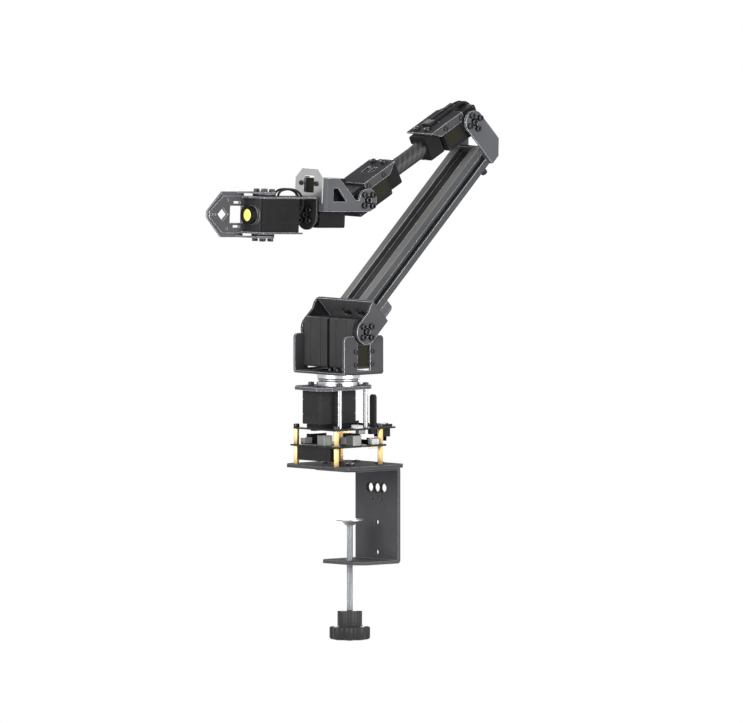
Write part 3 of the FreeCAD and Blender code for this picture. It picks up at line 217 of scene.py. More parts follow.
class Finish(Nodes):
    """One material: a Principled shader and the nodes that feed it."""

    def __init__(self, name, **constants):
        self.material = bpy.data.materials.new(name)
        super().__init__(self.material)
        self.principled = self.node("ShaderNodeBsdfPrincipled")
        self.end = self.node("ShaderNodeOutputMaterial", {}, {"Surface": self.principled})
        self.surface(**constants)

    def surface(self, **sockets):
        """Feed the Principled shader; an underscore in a name stands for a space."""
        for key, value in sockets.items():
            self.feed(self.principled.socket.node.inputs[key.replace("_", " ")], value)

    def place(self, scale=(1.0, 1.0, 1.0), turn=(0.0, 0.0, 0.0)):
        """Object coordinates, turned and scaled."""
        where = self.node("ShaderNodeTexCoord", output="Object")
        return self.node("ShaderNodeMapping", {"vector_type": "TEXTURE"},
                         {"Vector": where, "Rotation": turn, "Scale": tuple(1.0 / part for part in scale)})

    def noise(self, scale, detail=3.0, where=None):
        """Noise between 0 and 1."""
        inputs = {"Vector": where or self.place(), "Scale": scale, "Detail": detail}
        return self.node("ShaderNodeTexNoise", {}, inputs, "Fac")

    def mix(self, share, first, second):
        """Colour between two colours."""
        return self.node("ShaderNodeMix", {"data_type": "RGBA"}, {0: share, 6: first, 7: second}, 2)

    def rounded_normal(self, radius):
        """Normal of the surface with its edges rounded to a radius."""
        return self.node("ShaderNodeBevel", {"samples": edge_samples}, {"Radius": radius}, "Normal")

    def along(self, vector, direction):
        """Dot product of two vectors."""
        settings = {"operation": "DOT_PRODUCT"}
        return self.node("ShaderNodeVectorMath", settings, {0: vector, 1: direction}, "Value")

    def edge(self, normal, gain):
        """Mask of the edges, where the rounded normal leaves the face's own."""
        face = self.node("ShaderNodeNewGeometry", output="True Normal")
        return ((1.0 - self.along(normal, face) - edge_start) * gain).clamped()

    def past(self, point, direction):
        """Mask of what lies past the plane through a point across a direction."""
        distance = self.along(self.place(), tuple(direction)) - float(np.dot(point, direction))
        return (distance * (1.0 / plane_fade)).clamped()

    def cells(self, feature, scale):
        """Distances in a pattern of cells."""
        inputs = {"Vector": self.place(), "Scale": scale}
        return self.node("ShaderNodeTexVoronoi", {"feature": feature}, inputs, "Distance")

    def bump(self, height, distance, normal, strength):
        """Normal of a bumped surface."""
        inputs = {"Height": height, "Distance": distance, "Strength": strength}
        if normal:
            inputs["Normal"] = normal
        return self.node("ShaderNodeBump", {}, inputs, "Normal")


# Finishes: scales of their patterns, in waves or cells to the metre

sheet_cloud, satin_grain, rim_wear_and_highlight_scale = 45.0, 2600.0, 300.0
moulded_cloud, eroded_grain = 60.0, 1900.0
tool_marks, metal_stains = 1500.0, 120.0
board_traces, board_pads, trace_spread, pad_spread, board_smear = 260.0, 420.0, 90.0, 70.0, 500.0
carbon_fibres = 9000.0
rubber_bloom, rubber_grain = 400.0, 2500.0
lens_prisms = 900.0
label_weave = 700.0
turned_grain = (1.0, 1.0, 5.0)  # how much finer a grain is along X, Y and Z
brushed_grain = (1.0, 0.15, 4.0)
ground_grain = (0.3, 0.3, 8.0)


def toned(colour, factor):
    """A colour made darker or lighter."""
    return tuple(factor * channel for channel in colour)


def anodised(name, colour, rim_wear_and_highlight_colour, roughness=0.5, radius=sheet_edge_radius, grain=(1.0, 1.0, 1.0),
             turn=(0.0, 0.0, 0.0), painted_light_and_shade=None):
    """Anodised sheet or bar: satin grain, slow changes of tone, bright edges that are partly bare metal wear and
    partly painted highlight.

    Beyond some planes, each a point and a direction, it can have a painted colour that stands for light or shade,
    and less wear and highlight on its edges.
    """
    look = Finish(name, Specular_IOR_Level=0.0, Specular_Tint=(0.5, 0.5, 0.5))
    normal = look.rounded_normal(radius)
    edge = look.edge(normal, 11.0)
    cloud = look.noise(sheet_cloud, 2.0)
    grains = look.noise(satin_grain, 2.0, look.place(grain, turn))
    tone = look.mix(cloud, toned(colour, 0.82), toned(colour, 1.2))
    # Bright edges: partly wear, partly painted highlight
    wear_and_highlight_mask = edge * (0.84 + 0.16 * look.noise(rim_wear_and_highlight_scale, 4.0))
    # Painted light or shade: another colour past some planes
    if painted_light_and_shade:
        planes, painted_colour, wear_and_highlight_lost = painted_light_and_shade
        past = math.prod(look.past(point, direction) for point, direction in planes)
        tone = look.mix(past, tone, painted_colour)
        wear_and_highlight_mask = wear_and_highlight_mask * (1.0 - wear_and_highlight_lost * past)
    look.surface(Base_Color=look.mix(wear_and_highlight_mask, tone, rim_wear_and_highlight_colour), Metallic=0.15 + 0.35 * wear_and_highlight_mask,
                 Roughness=roughness + grains.swing(0.12) + cloud.swing(0.08) - 0.08 * wear_and_highlight_mask,
                 Normal=look.bump(grains, 0.02 * mm, normal, 0.6))
    return look.material


def moulded(name, colour, roughness, gloss=0.07):
    """Moulded plastic: fine spark-eroded grain, edges a little polished."""
    look = Finish(name, Specular_IOR_Level=gloss)
    normal = look.rounded_normal(moulded_edge_radius)
    edge = look.edge(normal, 5.0)
    grains = look.noise(eroded_grain)
    cloud = look.noise(moulded_cloud, 2.0)
    tone = look.mix(cloud, toned(colour, 0.75), toned(colour, 1.35))
    look.surface(Base_Color=look.mix(edge * 0.35, tone, polished_black),
                 Roughness=roughness + grains.swing(0.16) - 0.1 * edge,
                 Normal=look.bump(grains, 0.02 * mm, normal, 0.7))
    return look.material


def bare_metal(name, colour, roughness, grain=(1.0, 1.0, 1.0), stains=0.16, metallic=1.0):
    """Bare or plated metal: fine tool marks and faint stains."""
    look = Finish(name, Metallic=metallic)
    normal = look.rounded_normal(metal_edge_radius)
    marks = look.noise(tool_marks, 2.0, look.place(grain))
    stain = look.noise(metal_stains, 4.0)
    look.surface(Base_Color=look.mix(stain, toned(colour, 1 - stains), colour),
                 Roughness=roughness + marks.swing(0.14) + stain.swing(0.1),
                 Normal=look.bump(marks, 0.008 * mm, normal, 0.5))
    return look.material


def circuit_board(name):
    """Black solder mask with fine traces showing under it and some bare pads."""
    look = Finish(name, Specular_IOR_Level=0.08)
    line = (look.cells("DISTANCE_TO_EDGE", board_traces) < 0.045) * (look.noise(trace_spread, 1.0) > 0.5)
    pad = (look.cells("F1", board_pads) < 0.16) * (look.noise(pad_spread, 1.0) > 0.6)
    mask = look.mix(line, board_black, board_copper)
    look.surface(Base_Color=look.mix(pad, mask, trace_gold), Metallic=pad * 0.9,
                 Roughness=0.42 + look.noise(board_smear).swing(0.15),
                 Normal=look.bump(line, 0.03 * mm, look.rounded_normal(board_edge_radius), 0.6))
    return look.material


def woven_carbon(name, tows_round, tows_along):
    """Twill of carbon tows on the tube's own map, each over two and under two, under clear resin."""
    look = Finish(name, Specular_IOR_Level=0.3, Coat_Weight=0.45, Coat_Roughness=0.1)
    chart = look.node("ShaderNodeTexCoord", output="UV")
    split = look.node("ShaderNodeSeparateXYZ", {}, {0: chart}).socket.node
    turn = Shade(look, split.outputs[0]) * tows_round
    way = Shade(look, split.outputs[1]) * tows_along
    over = ((turn.floor() + way.floor()) % 4.0) < 1.5
    turn_in = abs(turn - turn.floor() - 0.5)
    way_in = abs(way - way.floor() - 0.5)
    crown = 1.0 - (over * turn_in + (1.0 - over) * way_in) * 1.6
    fibres = look.noise(carbon_fibres, 1.0)
    tone = look.mix(over, tow_dark, tow_light)
    look.surface(Base_Color=look.mix(crown.clamped(), tow_gap, tone),
                 Roughness=0.34 + 0.14 * over + fibres.swing(0.1),
                 Normal=look.bump(crown, 0.05 * mm, None, 0.5))
    return look.material


def rubber(name):
    """Lead sheath: soft matt rubber with a faint bloom."""
    look = Finish(name, Specular_IOR_Level=0.1)
    bloom = look.noise(rubber_bloom)
    look.surface(Base_Color=look.mix(bloom, rubber_black, toned(rubber_black, 2.2)),
                 Roughness=0.55 + bloom.swing(0.2),
                 Normal=look.bump(look.noise(rubber_grain, 2.0), 0.02 * mm, None, 0.4))
    return look.material


def tinted_lens(name):
    """Pale yellow lens: glossy, with fine prisms that are paler towards their edges."""
    look = Finish(name, Coat_Weight=0.35, Coat_Roughness=0.05, Specular_IOR_Level=0.4)
    prisms = look.cells("F1", lens_prisms)
    look.surface(Base_Color=look.mix(prisms, lens_yellow, lens_pale), Roughness=0.22 + 0.1 * prisms,
                 Normal=look.bump(prisms, 0.1 * mm, None, 0.35))
    return look.material


finishes = {
    "black_sheet": anodised("black_anodised_sheet", sheet_black, sheet_rim_wear_and_highlight),
    "clamp_paint": anodised("black_painted_clamp", clamp_black, clamp_rim_wear_and_highlight, 0.52),
    "servo_case": moulded("servo_plastic", servo_black, 0.5, 0.04),
    "horn": anodised("turned_black_horn", horn_black, sheet_rim_wear_and_highlight, 0.34),
    "screw": bare_metal("black_oxide_screw", screw_black, 0.42),
    "post": bare_metal("turned_brass", brass_yellow, 0.42, turned_grain, 0.08),
    "pillar": bare_metal("turned_pillar", bright_metal, 0.24, turned_grain),
    "board": circuit_board("solder_mask"),
    "can": bare_metal("tinned_can", can_grey, 0.5),
    "connector": moulded("connector_plastic", moulded_black, 0.36),
    "module": moulded("module_plastic", moulded_black, 0.5),
    "switch": moulded("switch_plastic", moulded_black, 0.42),
    "rocker": moulded("rocker_plastic", moulded_black, 0.26),
    "bearing": bare_metal("ground_race", race_steel, 0.28, ground_grain, 0.08),
    "cage": bare_metal("pressed_cage", zinc_grey, 0.3),
    "tube": woven_carbon("carbon_weave", tows_round=28.0, tows_along=40.0),
    "clamp_block": moulded("clamp_block_plastic", servo_black, 0.5, 0.03),
    "bright_plate": bare_metal("brushed_bright_plate", plate_grey, 0.3, brushed_grain, 0.08),
    "lead": rubber("lead_sheath"),
    "lamp": moulded("lamp_plastic", lamp_black, 0.38),
    "lens": tinted_lens("lamp_lens_tint"),
    "rod": bare_metal("zinc_plated_rod", zinc_grey, 0.3, stains=0.08, metallic=0.75),
    "knob": moulded("knob_plastic", knob_black, 0.4, 0.13),
}


# Shapes

def grid_faces(rows, columns, around_rows=False, around_columns=True):
    """Quads of a grid of points; a way round joins its last line to its first."""
    row = np.arange(rows if around_rows else rows - 1)[:, None]
    column = np.arange(columns if around_columns else columns - 1)[None, :]
    corners = [(row, column), (row, column + 1), (row + 1, column + 1), (row + 1, column)]
    quads = [(down % rows) * columns + over % columns for down, over in corners]
    return np.stack(quads, -1).reshape(-1, 4)


def linked(name, data):
    """New object in the scene."""
    holder = bpy.data.objects.new(name, data)
    bpy.context.scene.collection.objects.link(holder)
    return holder


class Piece:
    """Surfaces gathered into one mesh, which rides on a body of the arm."""

    def __init__(self, name):
        self.name = name
        self.points, self.faces, self.maps = [], [], []
        self.count = 0

    def add(self, surface, around_rows=False, around_columns=True, chart=None):
        """Add a grid of points: the axes of the array are rows, columns and X, Y, Z."""
        rows, columns = surface.shape[:2]
        self.points.append(surface.reshape(-1, 3))
        self.faces.append(self.count + grid_faces(rows, columns, around_rows, around_columns))
        if chart is not None:
            self.maps.append(chart)
        self.count += rows * columns
        return self

    def mesh(self):
        """Closed mesh of the surfaces, its seams and poles welded and its faces outwards."""
        mesh = bpy.data.meshes.new(self.name)
        mesh.from_pydata(np.concatenate(self.points).tolist(), [], np.concatenate(self.faces).tolist())
        if self.maps:
            chart = mesh.uv_layers.new(name="chart")
            chart.data.foreach_set("uv", np.concatenate(self.maps).astype(np.float32).ravel())
        shell = bmesh.new()
        shell.from_mesh(mesh)
        bmesh.ops.remove_doubles(shell, verts=shell.verts, dist=weld_distance)
        bmesh.ops.dissolve_degenerate(shell, edges=shell.edges, dist=weld_distance)
        bmesh.ops.recalc_face_normals(shell, faces=shell.faces)
        shell.to_mesh(mesh)
        shell.free()
        return mesh

    def build(self, slot, body, finish=None, replaces=(), crease=35.0):
        """Shade the mesh smooth up to the crease angle, and hang it on the body."""
        mesh = self.mesh()
        mesh.polygons.foreach_set("use_smooth", np.ones(len(mesh.polygons), bool))
        mesh.set_sharp_from_angle(angle=math.radians(crease))
        mesh.materials.append(finish or finishes[slot])
        holder = linked(self.name, mesh)
        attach(holder, body)
        if replaces:
            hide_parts(*replaces)
        return holder


class Axes:
    """A place with three axes of its own."""

    def __init__(self, origin, x, z):
        self.origin = np.array(origin, float)
        self.z = np.array(z, float) / np.linalg.norm(z)
        side = np.cross(self.z, x)
        self.y = side / np.linalg.norm(side)
        self.x = np.cross(self.y, self.z)

    def out(self, local):
        """Points of these axes in the frame of the arm."""
        local = np.asarray(local, float)
        return self.origin + local[..., :1] * self.x + local[..., 1:2] * self.y + local[..., 2:] * self.z

    def into(self, points):
        """Points of the frame of the arm in these axes."""
        return (np.asarray(points, float) - self.origin) @ np.column_stack([self.x, self.y, self.z])


def turns(count):
    """Angles of a full turn, the last one short of the first."""
    return np.arange(count) * 2 * math.pi / count


def revolved(radii, heights, count):
    """Profile carried round Z: x = r cos a, y = r sin a. A radius may change with the angle."""
    angle = turns(count)
    radius = np.broadcast_to(np.asarray(radii, float).reshape(len(heights), -1), (len(heights), count))
    height = np.broadcast_to(np.asarray(heights, float)[:, None], radius.shape)
    return np.stack([radius * np.cos(angle), radius * np.sin(angle), height], -1)


def revolved_about_x(radii, heights, count):
    """The same about X."""
    return revolved(radii, heights, count)[..., [2, 0, 1]]


def soft_block(size, squareness=0.16, rows=13, columns=28):
    """Rounded block: a superellipsoid, each half size times powers of cosine and sine of two angles."""
    def power(value):
        return np.sign(value) * np.abs(value) ** squareness

    rise = np.linspace(-math.pi / 2, math.pi / 2, rows)[:, None]
    angle = turns(columns)[None, :] + math.pi / columns
    level = power(np.cos(rise))
    shape = np.stack(np.broadcast_arrays(level * power(np.cos(angle)), level * power(np.sin(angle)),
                                         power(np.sin(rise))), -1)
    return shape * np.array(size) / 2


def hex_radius(flat, count):
    """Distance from the middle to a hexagon's edge: flat / cos of the angle from the middle of a side."""
    return flat / np.cos(turns(count) % (math.pi / 3) - math.pi / 6)


def solids_of(node_name):
    """Points and triangles of each solid of a CAD node: points that share a triangle share a label."""
    mesh = frame["nodes"][node_name].data
    mesh.calc_loop_triangles()
    points = np.empty((len(mesh.vertices), 3))
    mesh.vertices.foreach_get("co", points.ravel())
    corners = np.empty((len(mesh.loop_triangles), 3), int)
    mesh.loop_triangles.foreach_get("vertices", corners.ravel())
    spots, same = np.unique(np.round(points / weld_distance).astype(int), axis=0, return_inverse=True)
    triangles = same.reshape(-1)[corners]
    spots = spots * weld_distance
    label = np.arange(len(spots))
    settled = False
    while not settled:
        least = label[triangles].min(1)
        after = label.copy()
        np.minimum.at(after, triangles.ravel(), np.repeat(least, 3))
        settled = bool((after == label).all())
        label = after
    solid = label[triangles[:, 0]]
    return [(spots[label == number], spots[triangles[solid == number]]) for number in np.unique(label)]


# Places of the arm's parts

joints = {joint["name"]: joint for joint in frame["joints"]}
elbow_spot = np.array(joints["elbow"]["pos_m"])
wrist_spot = np.array(joints["wrist_pitch"]["pos_m"])
sideways = np.array((0.0, 1.0, 0.0))
in_plan = np.array((1.0, 1.0, 0.0))
forearm = Axes(elbow_spot, wrist_spot - elbow_spot, np.cross(wrist_spot - elbow_spot, sideways))
hand = Axes(joints["wrist_roll"]["pos_m"], joints["wrist_roll"]["axis"], -np.array(joints["grip"]["axis"]))


def node_points(node_name):
    """All points of a CAD node."""
    return np.concatenate([points for points, triangles in solids_of(node_name)])


def extent(points):
    """Lowest and highest corner of some points."""
    return points.min(0), points.max(0)


# Upper arm

skin = 0.6 * mm                 # depth of what counts as a face
sheet_thickness = 2.0 * mm
rail_grain = (6.0, 6.0, 0.4)    # fine across the rail, long along it
rail_turn = (0.0, -0.81, 0.0)   # of the grain, to the rail's slope
along_rail = 0.9                # least cosine between a screw and the rail that counts as along it
arm_axis = np.linalg.eigh(np.cov(node_points("arm_extrusion").T))[1][:, 2]
arm_axis *= np.sign(arm_axis[2])
arm_front = np.cross(sideways, arm_axis)


def under_face(node_name, direction, depth):
    """Point on the plane at a depth under the outermost face of a CAD node along a direction."""
    return direction * ((node_points(node_name) @ direction).max() - depth)


def rail_finish():
    """Grey rail whose two front flanges are painted lighter than its sides and recess: painted light."""
    flanges = (under_face("arm_extrusion", arm_front, skin), arm_front)
    return anodised("rail_with_painted_lit_front", rail_grey, sheet_rim_wear_and_highlight, 0.42, rail_edge_radius, rail_grain, rail_turn,
                    painted_light_and_shade=([flanges], rail_front_painted_light, 0.0))


def shoulder_painted_shade_finish():
    """Black sheet with painted shade: darker on the inner faces of the two cheeks."""
    # Painted shade inside the cheeks and in front of the web, in the horn's black
    planes = [(under_face("shoulder_bracket", way, skin), -way) for way in (sideways, -sideways)]
    planes.append((under_face("shoulder_bracket", arm_axis, sheet_thickness + skin), -arm_axis))
    return anodised("shoulder_sheet_painted_shade", cradle_black, sheet_rim_wear_and_highlight, painted_light_and_shade=(planes, horn_black, 0.3))


# Finishes of the solids: each has its slot's, or one of its own

finishes["extrusion"] = rail_finish()
# Shoulder servos in a lighter copy of the servo plastic: painted light
shoulder_servo_painted_light_plastic = moulded("shoulder_servo_painted_light_plastic", shoulder_servo_painted_light_black, 0.5, 0.04)
# Darker copy of the black sheet: painted shade on the head bracket and the covers
sheet_with_painted_shade = anodised("black_sheet_with_painted_shade", deep_black, sheet_rim_wear_and_highlight)
node_finishes = {
    "lamp_plate": moulded("lamp_plate_black", plate_black, 0.5),
    "base_plate": anodised("base_plate_sheet", deep_black, clamp_rim_wear_and_highlight),
    # base servo in a lighter copy of the servo plastic: painted light
    "base_servo": moulded("base_servo_painted_light_plastic", base_servo_painted_light_black, 0.5, 0.04),
    "left_shoulder_servo": shoulder_servo_painted_light_plastic,
    "right_shoulder_servo": shoulder_servo_painted_light_plastic,
    "shoulder_bracket": shoulder_painted_shade_finish(),
    "head_bracket": sheet_with_painted_shade,
    "elbow_cover": sheet_with_painted_shade,
    "wrist_cover": sheet_with_painted_shade,
}
slot_of = {part["node"]: part["material_slot"] for part in frame["record"]["subparts"]}
for node_name, node in frame["nodes"].items():
    node.data.materials.clear()
    node.data.materials.append(node_finishes.get(node_name) or finishes[slot_of[node_name]])


# Screws

head_share = 0.9                # what lies this far out, of a screw's radius, belongs to its head
level_gap = 10 * weld_distance
socket_way = (0.3, 0.5, 0.8)    # how the sockets are turned
washer_lap = 0.1 * mm
washer_width = 1.5 * mm
washer_rim = 0.5 * mm
washer_break = 0.4 * mm


def turned_axis(triangles):
    """Axis of a turned solid: the faces' normals spread evenly across it, so its share is the odd one."""
    first, second, third = triangles.swapaxes(0, 1)
    normal = np.cross(second - first, third - first)
    area = np.linalg.norm(normal, axis=1)
    share, way = np.linalg.eigh((normal.T / np.maximum(area, weld_distance ** 3)) @ normal)
    return way[:, 0] if share[1] - share[0] > share[2] - share[1] else way[:, 2]


def screw_surface(radius, height, shank_radius, shank):
    """Socket-headed screw about Z with its seat at z = 0: a turned profile, its socket rows a hexagon."""
    count = 24
    edge = 0.16 * height
    soft = 0.3 * edge
    socket = hex_radius(0.5 * radius, count)
    mouth = 1.08 * socket
    lip = 0.06 * radius
    floor = 0.42 * height
    drill = 0.1 * radius
    rows = (
        (0.0, -shank), (shank_radius, -shank), (shank_radius, 0.0), (radius, 0.0), (radius, height - edge),
        (radius - soft, height - soft), (radius - edge, height), (mouth, height), (socket, height - lip),
        (socket, floor), (0.0, floor - drill),
    )
    radii = [np.broadcast_to(row[0], count) for row in rows]
    return revolved(radii, [row[1] for row in rows], count)


def screws_of(node_name):
    """Each screw of a node, from its own solid: axes at its seat, and the sizes of its head and shank."""
    middle = node_points(node_name).mean(0)
    for points, triangles in solids_of(node_name):
        axis = turned_axis(triangles)
        centre = points.mean(0)
        along = (points - centre) @ axis
        off = np.linalg.norm(points - centre - along[:, None] * axis, axis=1)
        head = along[off > head_share * off.max()]
        below, above = head.min() - along.min(), along.max() - head.max()
        plain = max(below, above) < level_gap
        if above > below or (plain and (centre - middle) @ axis < 0):
            axis, along, head = -axis, -along, -head
            below = above
        seat = centre + axis * head.min()
        shank_radius = off[along < along.min() + level_gap].max()
        across = np.cross(axis, socket_way)
        yield Axes(seat, across, axis), (off.max(), np.ptp(head), shank_radius, below)


def screw_set(node_name, body):
    """The screws of a node, with rounded heads and hexagonal sockets."""
    piece = Piece(node_name + "_heads")
    for spot, sizes in screws_of(node_name):
        piece.add(spot.out(screw_surface(*sizes)))
    return piece.build("screw", body, replaces=(node_name,))


def end_washers():
    """Washers of the rail's end screws: flat rings with a broken rim, a profile carried round each head."""
    piece = Piece("end_washers")
    count = 48
    top = washer_rim + washer_break
    heights = [0.0, 0.0, washer_rim, top, top]
    for spot, sizes in screws_of("arm_screws"):
        if abs(spot.z @ arm_axis) > along_rail:
            bore, rim = sizes[0] - washer_lap, sizes[0] + washer_width
            radii = [bore, rim, rim, rim - washer_break, bore]
            piece.add(spot.out(revolved(radii, heights, count)), around_rows=True)
    return piece.build("screw", "upper_arm")


for screws in (
    ("base_screws", "base"), ("head_screws", "head"), ("arm_screws", "upper_arm"),
    ("cover_screws", "forearm"), ("wrist_screws", "wrist"), ("roll_screws", "hand"), ("jaw_screws", "jaw"),
):
    screw_set(*screws)
end_washers()


# Clamp: its rod, its knob and the liners of its cable holes

def threaded_rod():
    """Rod with a cut thread: r = crest - depth |2 frac(z / pitch - a / 2 pi) - 1|, tapered at both ends."""
    low, high = extent(node_points("clamp_rod"))
    crest = (high[1] - low[1]) / 2
    pitch = 1.0 * mm
    depth = 0.5 * mm
    taper = 0.9 * mm
    length = high[2] - low[2]
    count = 30
    rows_to_pitch = 6
    height = np.linspace(0.0, length, int(length / pitch * rows_to_pitch))
    phase = (height[:, None] / pitch - turns(count)[None, :] / (2 * math.pi)) % 1.0
    radius = crest - depth * np.abs(2 * phase - 1)
    end = np.minimum(height, length - height)[:, None]
    radius = np.minimum(radius, crest - taper + end)
    radius = np.pad(radius, ((1, 1), (0, 0)))
    height = np.pad(height, 1, mode="edge")
    surface = revolved(radius, height + low[2], count) + (low + high) / 2 * in_plan
    piece = Piece("clamp_rod_thread").add(surface)
    return piece.build("rod", "clamp_screw", replaces=("clamp_rod",), crease=60.0)


def star_knob():
    """Knob of radius r - bite ((1 - cos 8a) / 2) ** 1.5, its hub fluted by ((1 + cos 16a) / 2) ** 4."""
    low, high = extent(node_points("clamp_knob"))
    grip = (high[0] - low[0]) / 2
    hub = 11.3 * mm
    bore = 2.2 * mm
    top, bottom = high[2], low[2]
    shelf = top - 14.3 * mm
    bite, flute = 2.6 * mm, 0.35 * mm
    # Radius, height, share of the bite and share of the flutes
    rows = (
        (bore, top, 0.0, 0.0), (hub - 2.0 * mm, top, 0.0, 0.0), (hub - 0.5 * mm, top - 0.3 * mm, 0.0, 0.6),
        (hub, top - 1.3 * mm, 0.0, 1.0), (hub, shelf + 0.8 * mm, 0.0, 1.0),
        (hub + 0.8 * mm, shelf, 0.0, 0.3), (grip - 2.2 * mm, shelf, 0.7, 0.0),
        (grip - 0.7 * mm, shelf - 0.5 * mm, 1.0, 0.0),
        (grip, shelf - 1.8 * mm, 1.0, 0.0), (grip, bottom + 2.2 * mm, 1.0, 0.0),
        (grip - 0.8 * mm, bottom + 0.7 * mm, 1.0, 0.0), (grip - 3.0 * mm, bottom, 0.7, 0.0),
        (hub, bottom, 0.0, 0.0), (hub - 2.0 * mm, bottom + 0.8 * mm, 0.0, 0.0),
        (bore, bottom + 0.8 * mm, 0.0, 0.0),
    )
    count = 128
    lobes, flutes = 8, 16
    dip = ((1 - np.cos(lobes * turns(count))) / 2) ** 1.5
    groove = ((1 + np.cos(flutes * turns(count))) / 2) ** 4
    base, height, lobed, fluted = (np.array(column)[:, None] for column in zip(*rows))
    radius = base - bite * lobed * dip - flute * fluted * groove
    surface = revolved(radius, height.ravel(), count) + (low + high) / 2 * in_plan
    piece = Piece("star_knob").add(surface, around_rows=True)
    return piece.build("knob", "clamp_screw", replaces=("clamp_knob",))


eyelet_radius = 5.0 * mm
eyelet_pitch = 9.1 * mm
eyelet_level = -17.4 * mm
eyelet_wall = 0.95 * mm
eyelet_break = 0.2 * mm
clamp_thickness = 3.0 * mm


def eyelet_liners():
    """Liners of the cable holes: rings of radius R, or half the pitch / |cos a| beside a neighbour."""
    piece = Piece("eyelet_liners")
    rear = extent(node_points("clamp_bracket"))[0][0]
    count = 72
    side = np.cos(turns(count))
    least_side = 0.1
    shared = np.minimum(eyelet_radius, eyelet_pitch / 2 / np.abs(side).clip(least_side))
    bore = np.full(count, eyelet_radius - eyelet_wall)
    front = clamp_thickness + eyelet_break
    levels = (eyelet_break, eyelet_break, front, front, clamp_thickness, 2 * eyelet_break)
    for step in (-1, 0, 1):
        rim = np.where(step * side <= 0.0, shared, eyelet_radius)
        rows = [bore + eyelet_break, rim, rim, bore + eyelet_break, bore, bore]
        spot = Axes((rear, step * eyelet_pitch, eyelet_level), sideways, (1.0, 0.0, 0.0))
        piece.add(spot.out(revolved(rows, levels, count)), around_rows=True)
    return piece.build("lead", "base")


threaded_rod()
star_knob()
eyelet_liners()


# Base

post_half_width = 2.2 * mm      # across the flats
post_break = 0.4 * mm
post_end_share = 0.92           # width of a post's end, and of its bore, as shares of its own
post_bore_share = 0.5


def hex_posts():
    """Hexagonal posts with broken ends: the radius follows a hexagon, drawn in at each end."""
    piece = Piece("hex_posts")
    count = 48
    corner = hex_radius(post_half_width, count)
    bore = np.full(count, post_bore_share * corner.min())
    end = post_end_share * corner
    rows = [bore, end, corner, corner, end, bore]
    for points, triangles in solids_of("board_posts"):
        low, high = extent(points)
        levels = [low[2], low[2], low[2] + post_break, high[2] - post_break, high[2], high[2]]
        piece.add(revolved(rows, levels, count) + (low + high) / 2 * in_plan, around_rows=True)
    return piece.build("post", "base", replaces=("board_posts",))


hex_posts()
white_nylon = moulded("white_nylon", nylon_white, 0.4)
gold_pin = bare_metal("gilt_pin", pin_gold, 0.22)
driver_under, driver_top = (corner[2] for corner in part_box("driver_board"))
power_under, power_top = (corner[2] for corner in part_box("power_board"))

# Level, then X, Y, length, width and height in millimetres; a height below zero hangs under its board
white_sockets = (
    (driver_top, -19.0, 27.0, 9.5, 5.6, 5.4), (driver_top, 0.0, 8.0, 6.0, 5.0, 6.5),
    (driver_top, 15.0, -27.0, 9.5, 5.6, 5.4), (power_top, 22.5, -7.0, 4.5, 9.5, 5.0),
)
black_chips = (
    (driver_top, 9.0, 2.0, 9.0, 9.0, 1.3), (driver_top, -8.0, -12.0, 7.0, 7.0, 1.2),
    (driver_top, -11.0, 12.0, 5.0, 4.0, 1.6), (power_under, -18.0, 26.0, 6.5, 5.0, -4.6),
    (power_top, -36.0, -6.0, 6.0, 8.0, 1.8), (power_top, -36.0, -20.0, 8.0, 8.0, 3.2),
    (power_under, 6.0, -24.0, 9.0, 5.0, -3.0),
)
tin_boxes = (
    (power_under, -4.5, 25.0, 8.0, 5.0, -4.0), (power_top, -30.0, 8.0, 5.0, 7.0, 3.0),
    (driver_top, -25.0, -20.0, 7.5, 9.0, 3.2),
)
# Level, X and Y of the first pin, count and height
pin_rows = (
    (driver_under, -23.0, 27.0, 6, -2.2), (driver_under, -3.0, -28.0, 8, -2.0),
    (power_under, 10.0, 27.5, 6, -2.4),
)


def board_parts(name, parts, slot, finish=None):
    """Rounded blocks that stand on a board or hang under it."""
    piece = Piece(name)
    for level, x, y, length, width, height in parts:
        middle = np.array([x * mm, y * mm, level + height * mm / 2])
        piece.add(soft_block((length * mm, width * mm, abs(height) * mm), squareness=0.12) + middle)
    return piece.build(slot, "base", finish)


def header_pins():
    """Rows of square pins with rounded ends, one pitch apart along X."""
    pitch = 2.0 * mm
    width = 0.6 * mm
    pin = soft_block((width, width, 1.0), squareness=0.3, rows=9, columns=12)
    piece = Piece("header_pins")
    for level, x, y, count, height in pin_rows:
        shape = pin * np.array([1.0, 1.0, abs(height) * mm])
        for number in range(count):
            piece.add(shape + np.array([x * mm + pitch * number, y * mm, level + height * mm / 2]))
    return piece.build("post", "base", gold_pin)


board_parts("white_sockets", white_sockets, "connector", white_nylon)
board_parts("black_chips", black_chips, "connector")
board_parts("tin_boxes", tin_boxes, "can")
header_pins()


# Servos

def plain_label(name):
    """Bare printed panel: dull olive with a faint weave of its film."""
    look = Finish(name, Specular_IOR_Level=0.08)
    film = look.noise(label_weave)
    look.surface(Base_Color=look.mix(film, toned(label_olive, 0.8), toned(label_olive, 1.25)),
                 Roughness=0.42 + film.swing(0.15),
                 Normal=look.bump(film, 0.01 * mm, None, 0.4))
    return look.material


label_finish = plain_label("bare_label")
label_start = 13.0 * mm         # from the shaft
label_margin = 2.2 * mm
label_share = 0.74              # of the servo's width
label_film = 0.12 * mm
lid_screw_inset = 2.0 * mm
lid_screw_sizes = (1.1 * mm, 0.3 * mm, 0.6 * mm, 0.5 * mm)  # head's radius and height, then the shank's


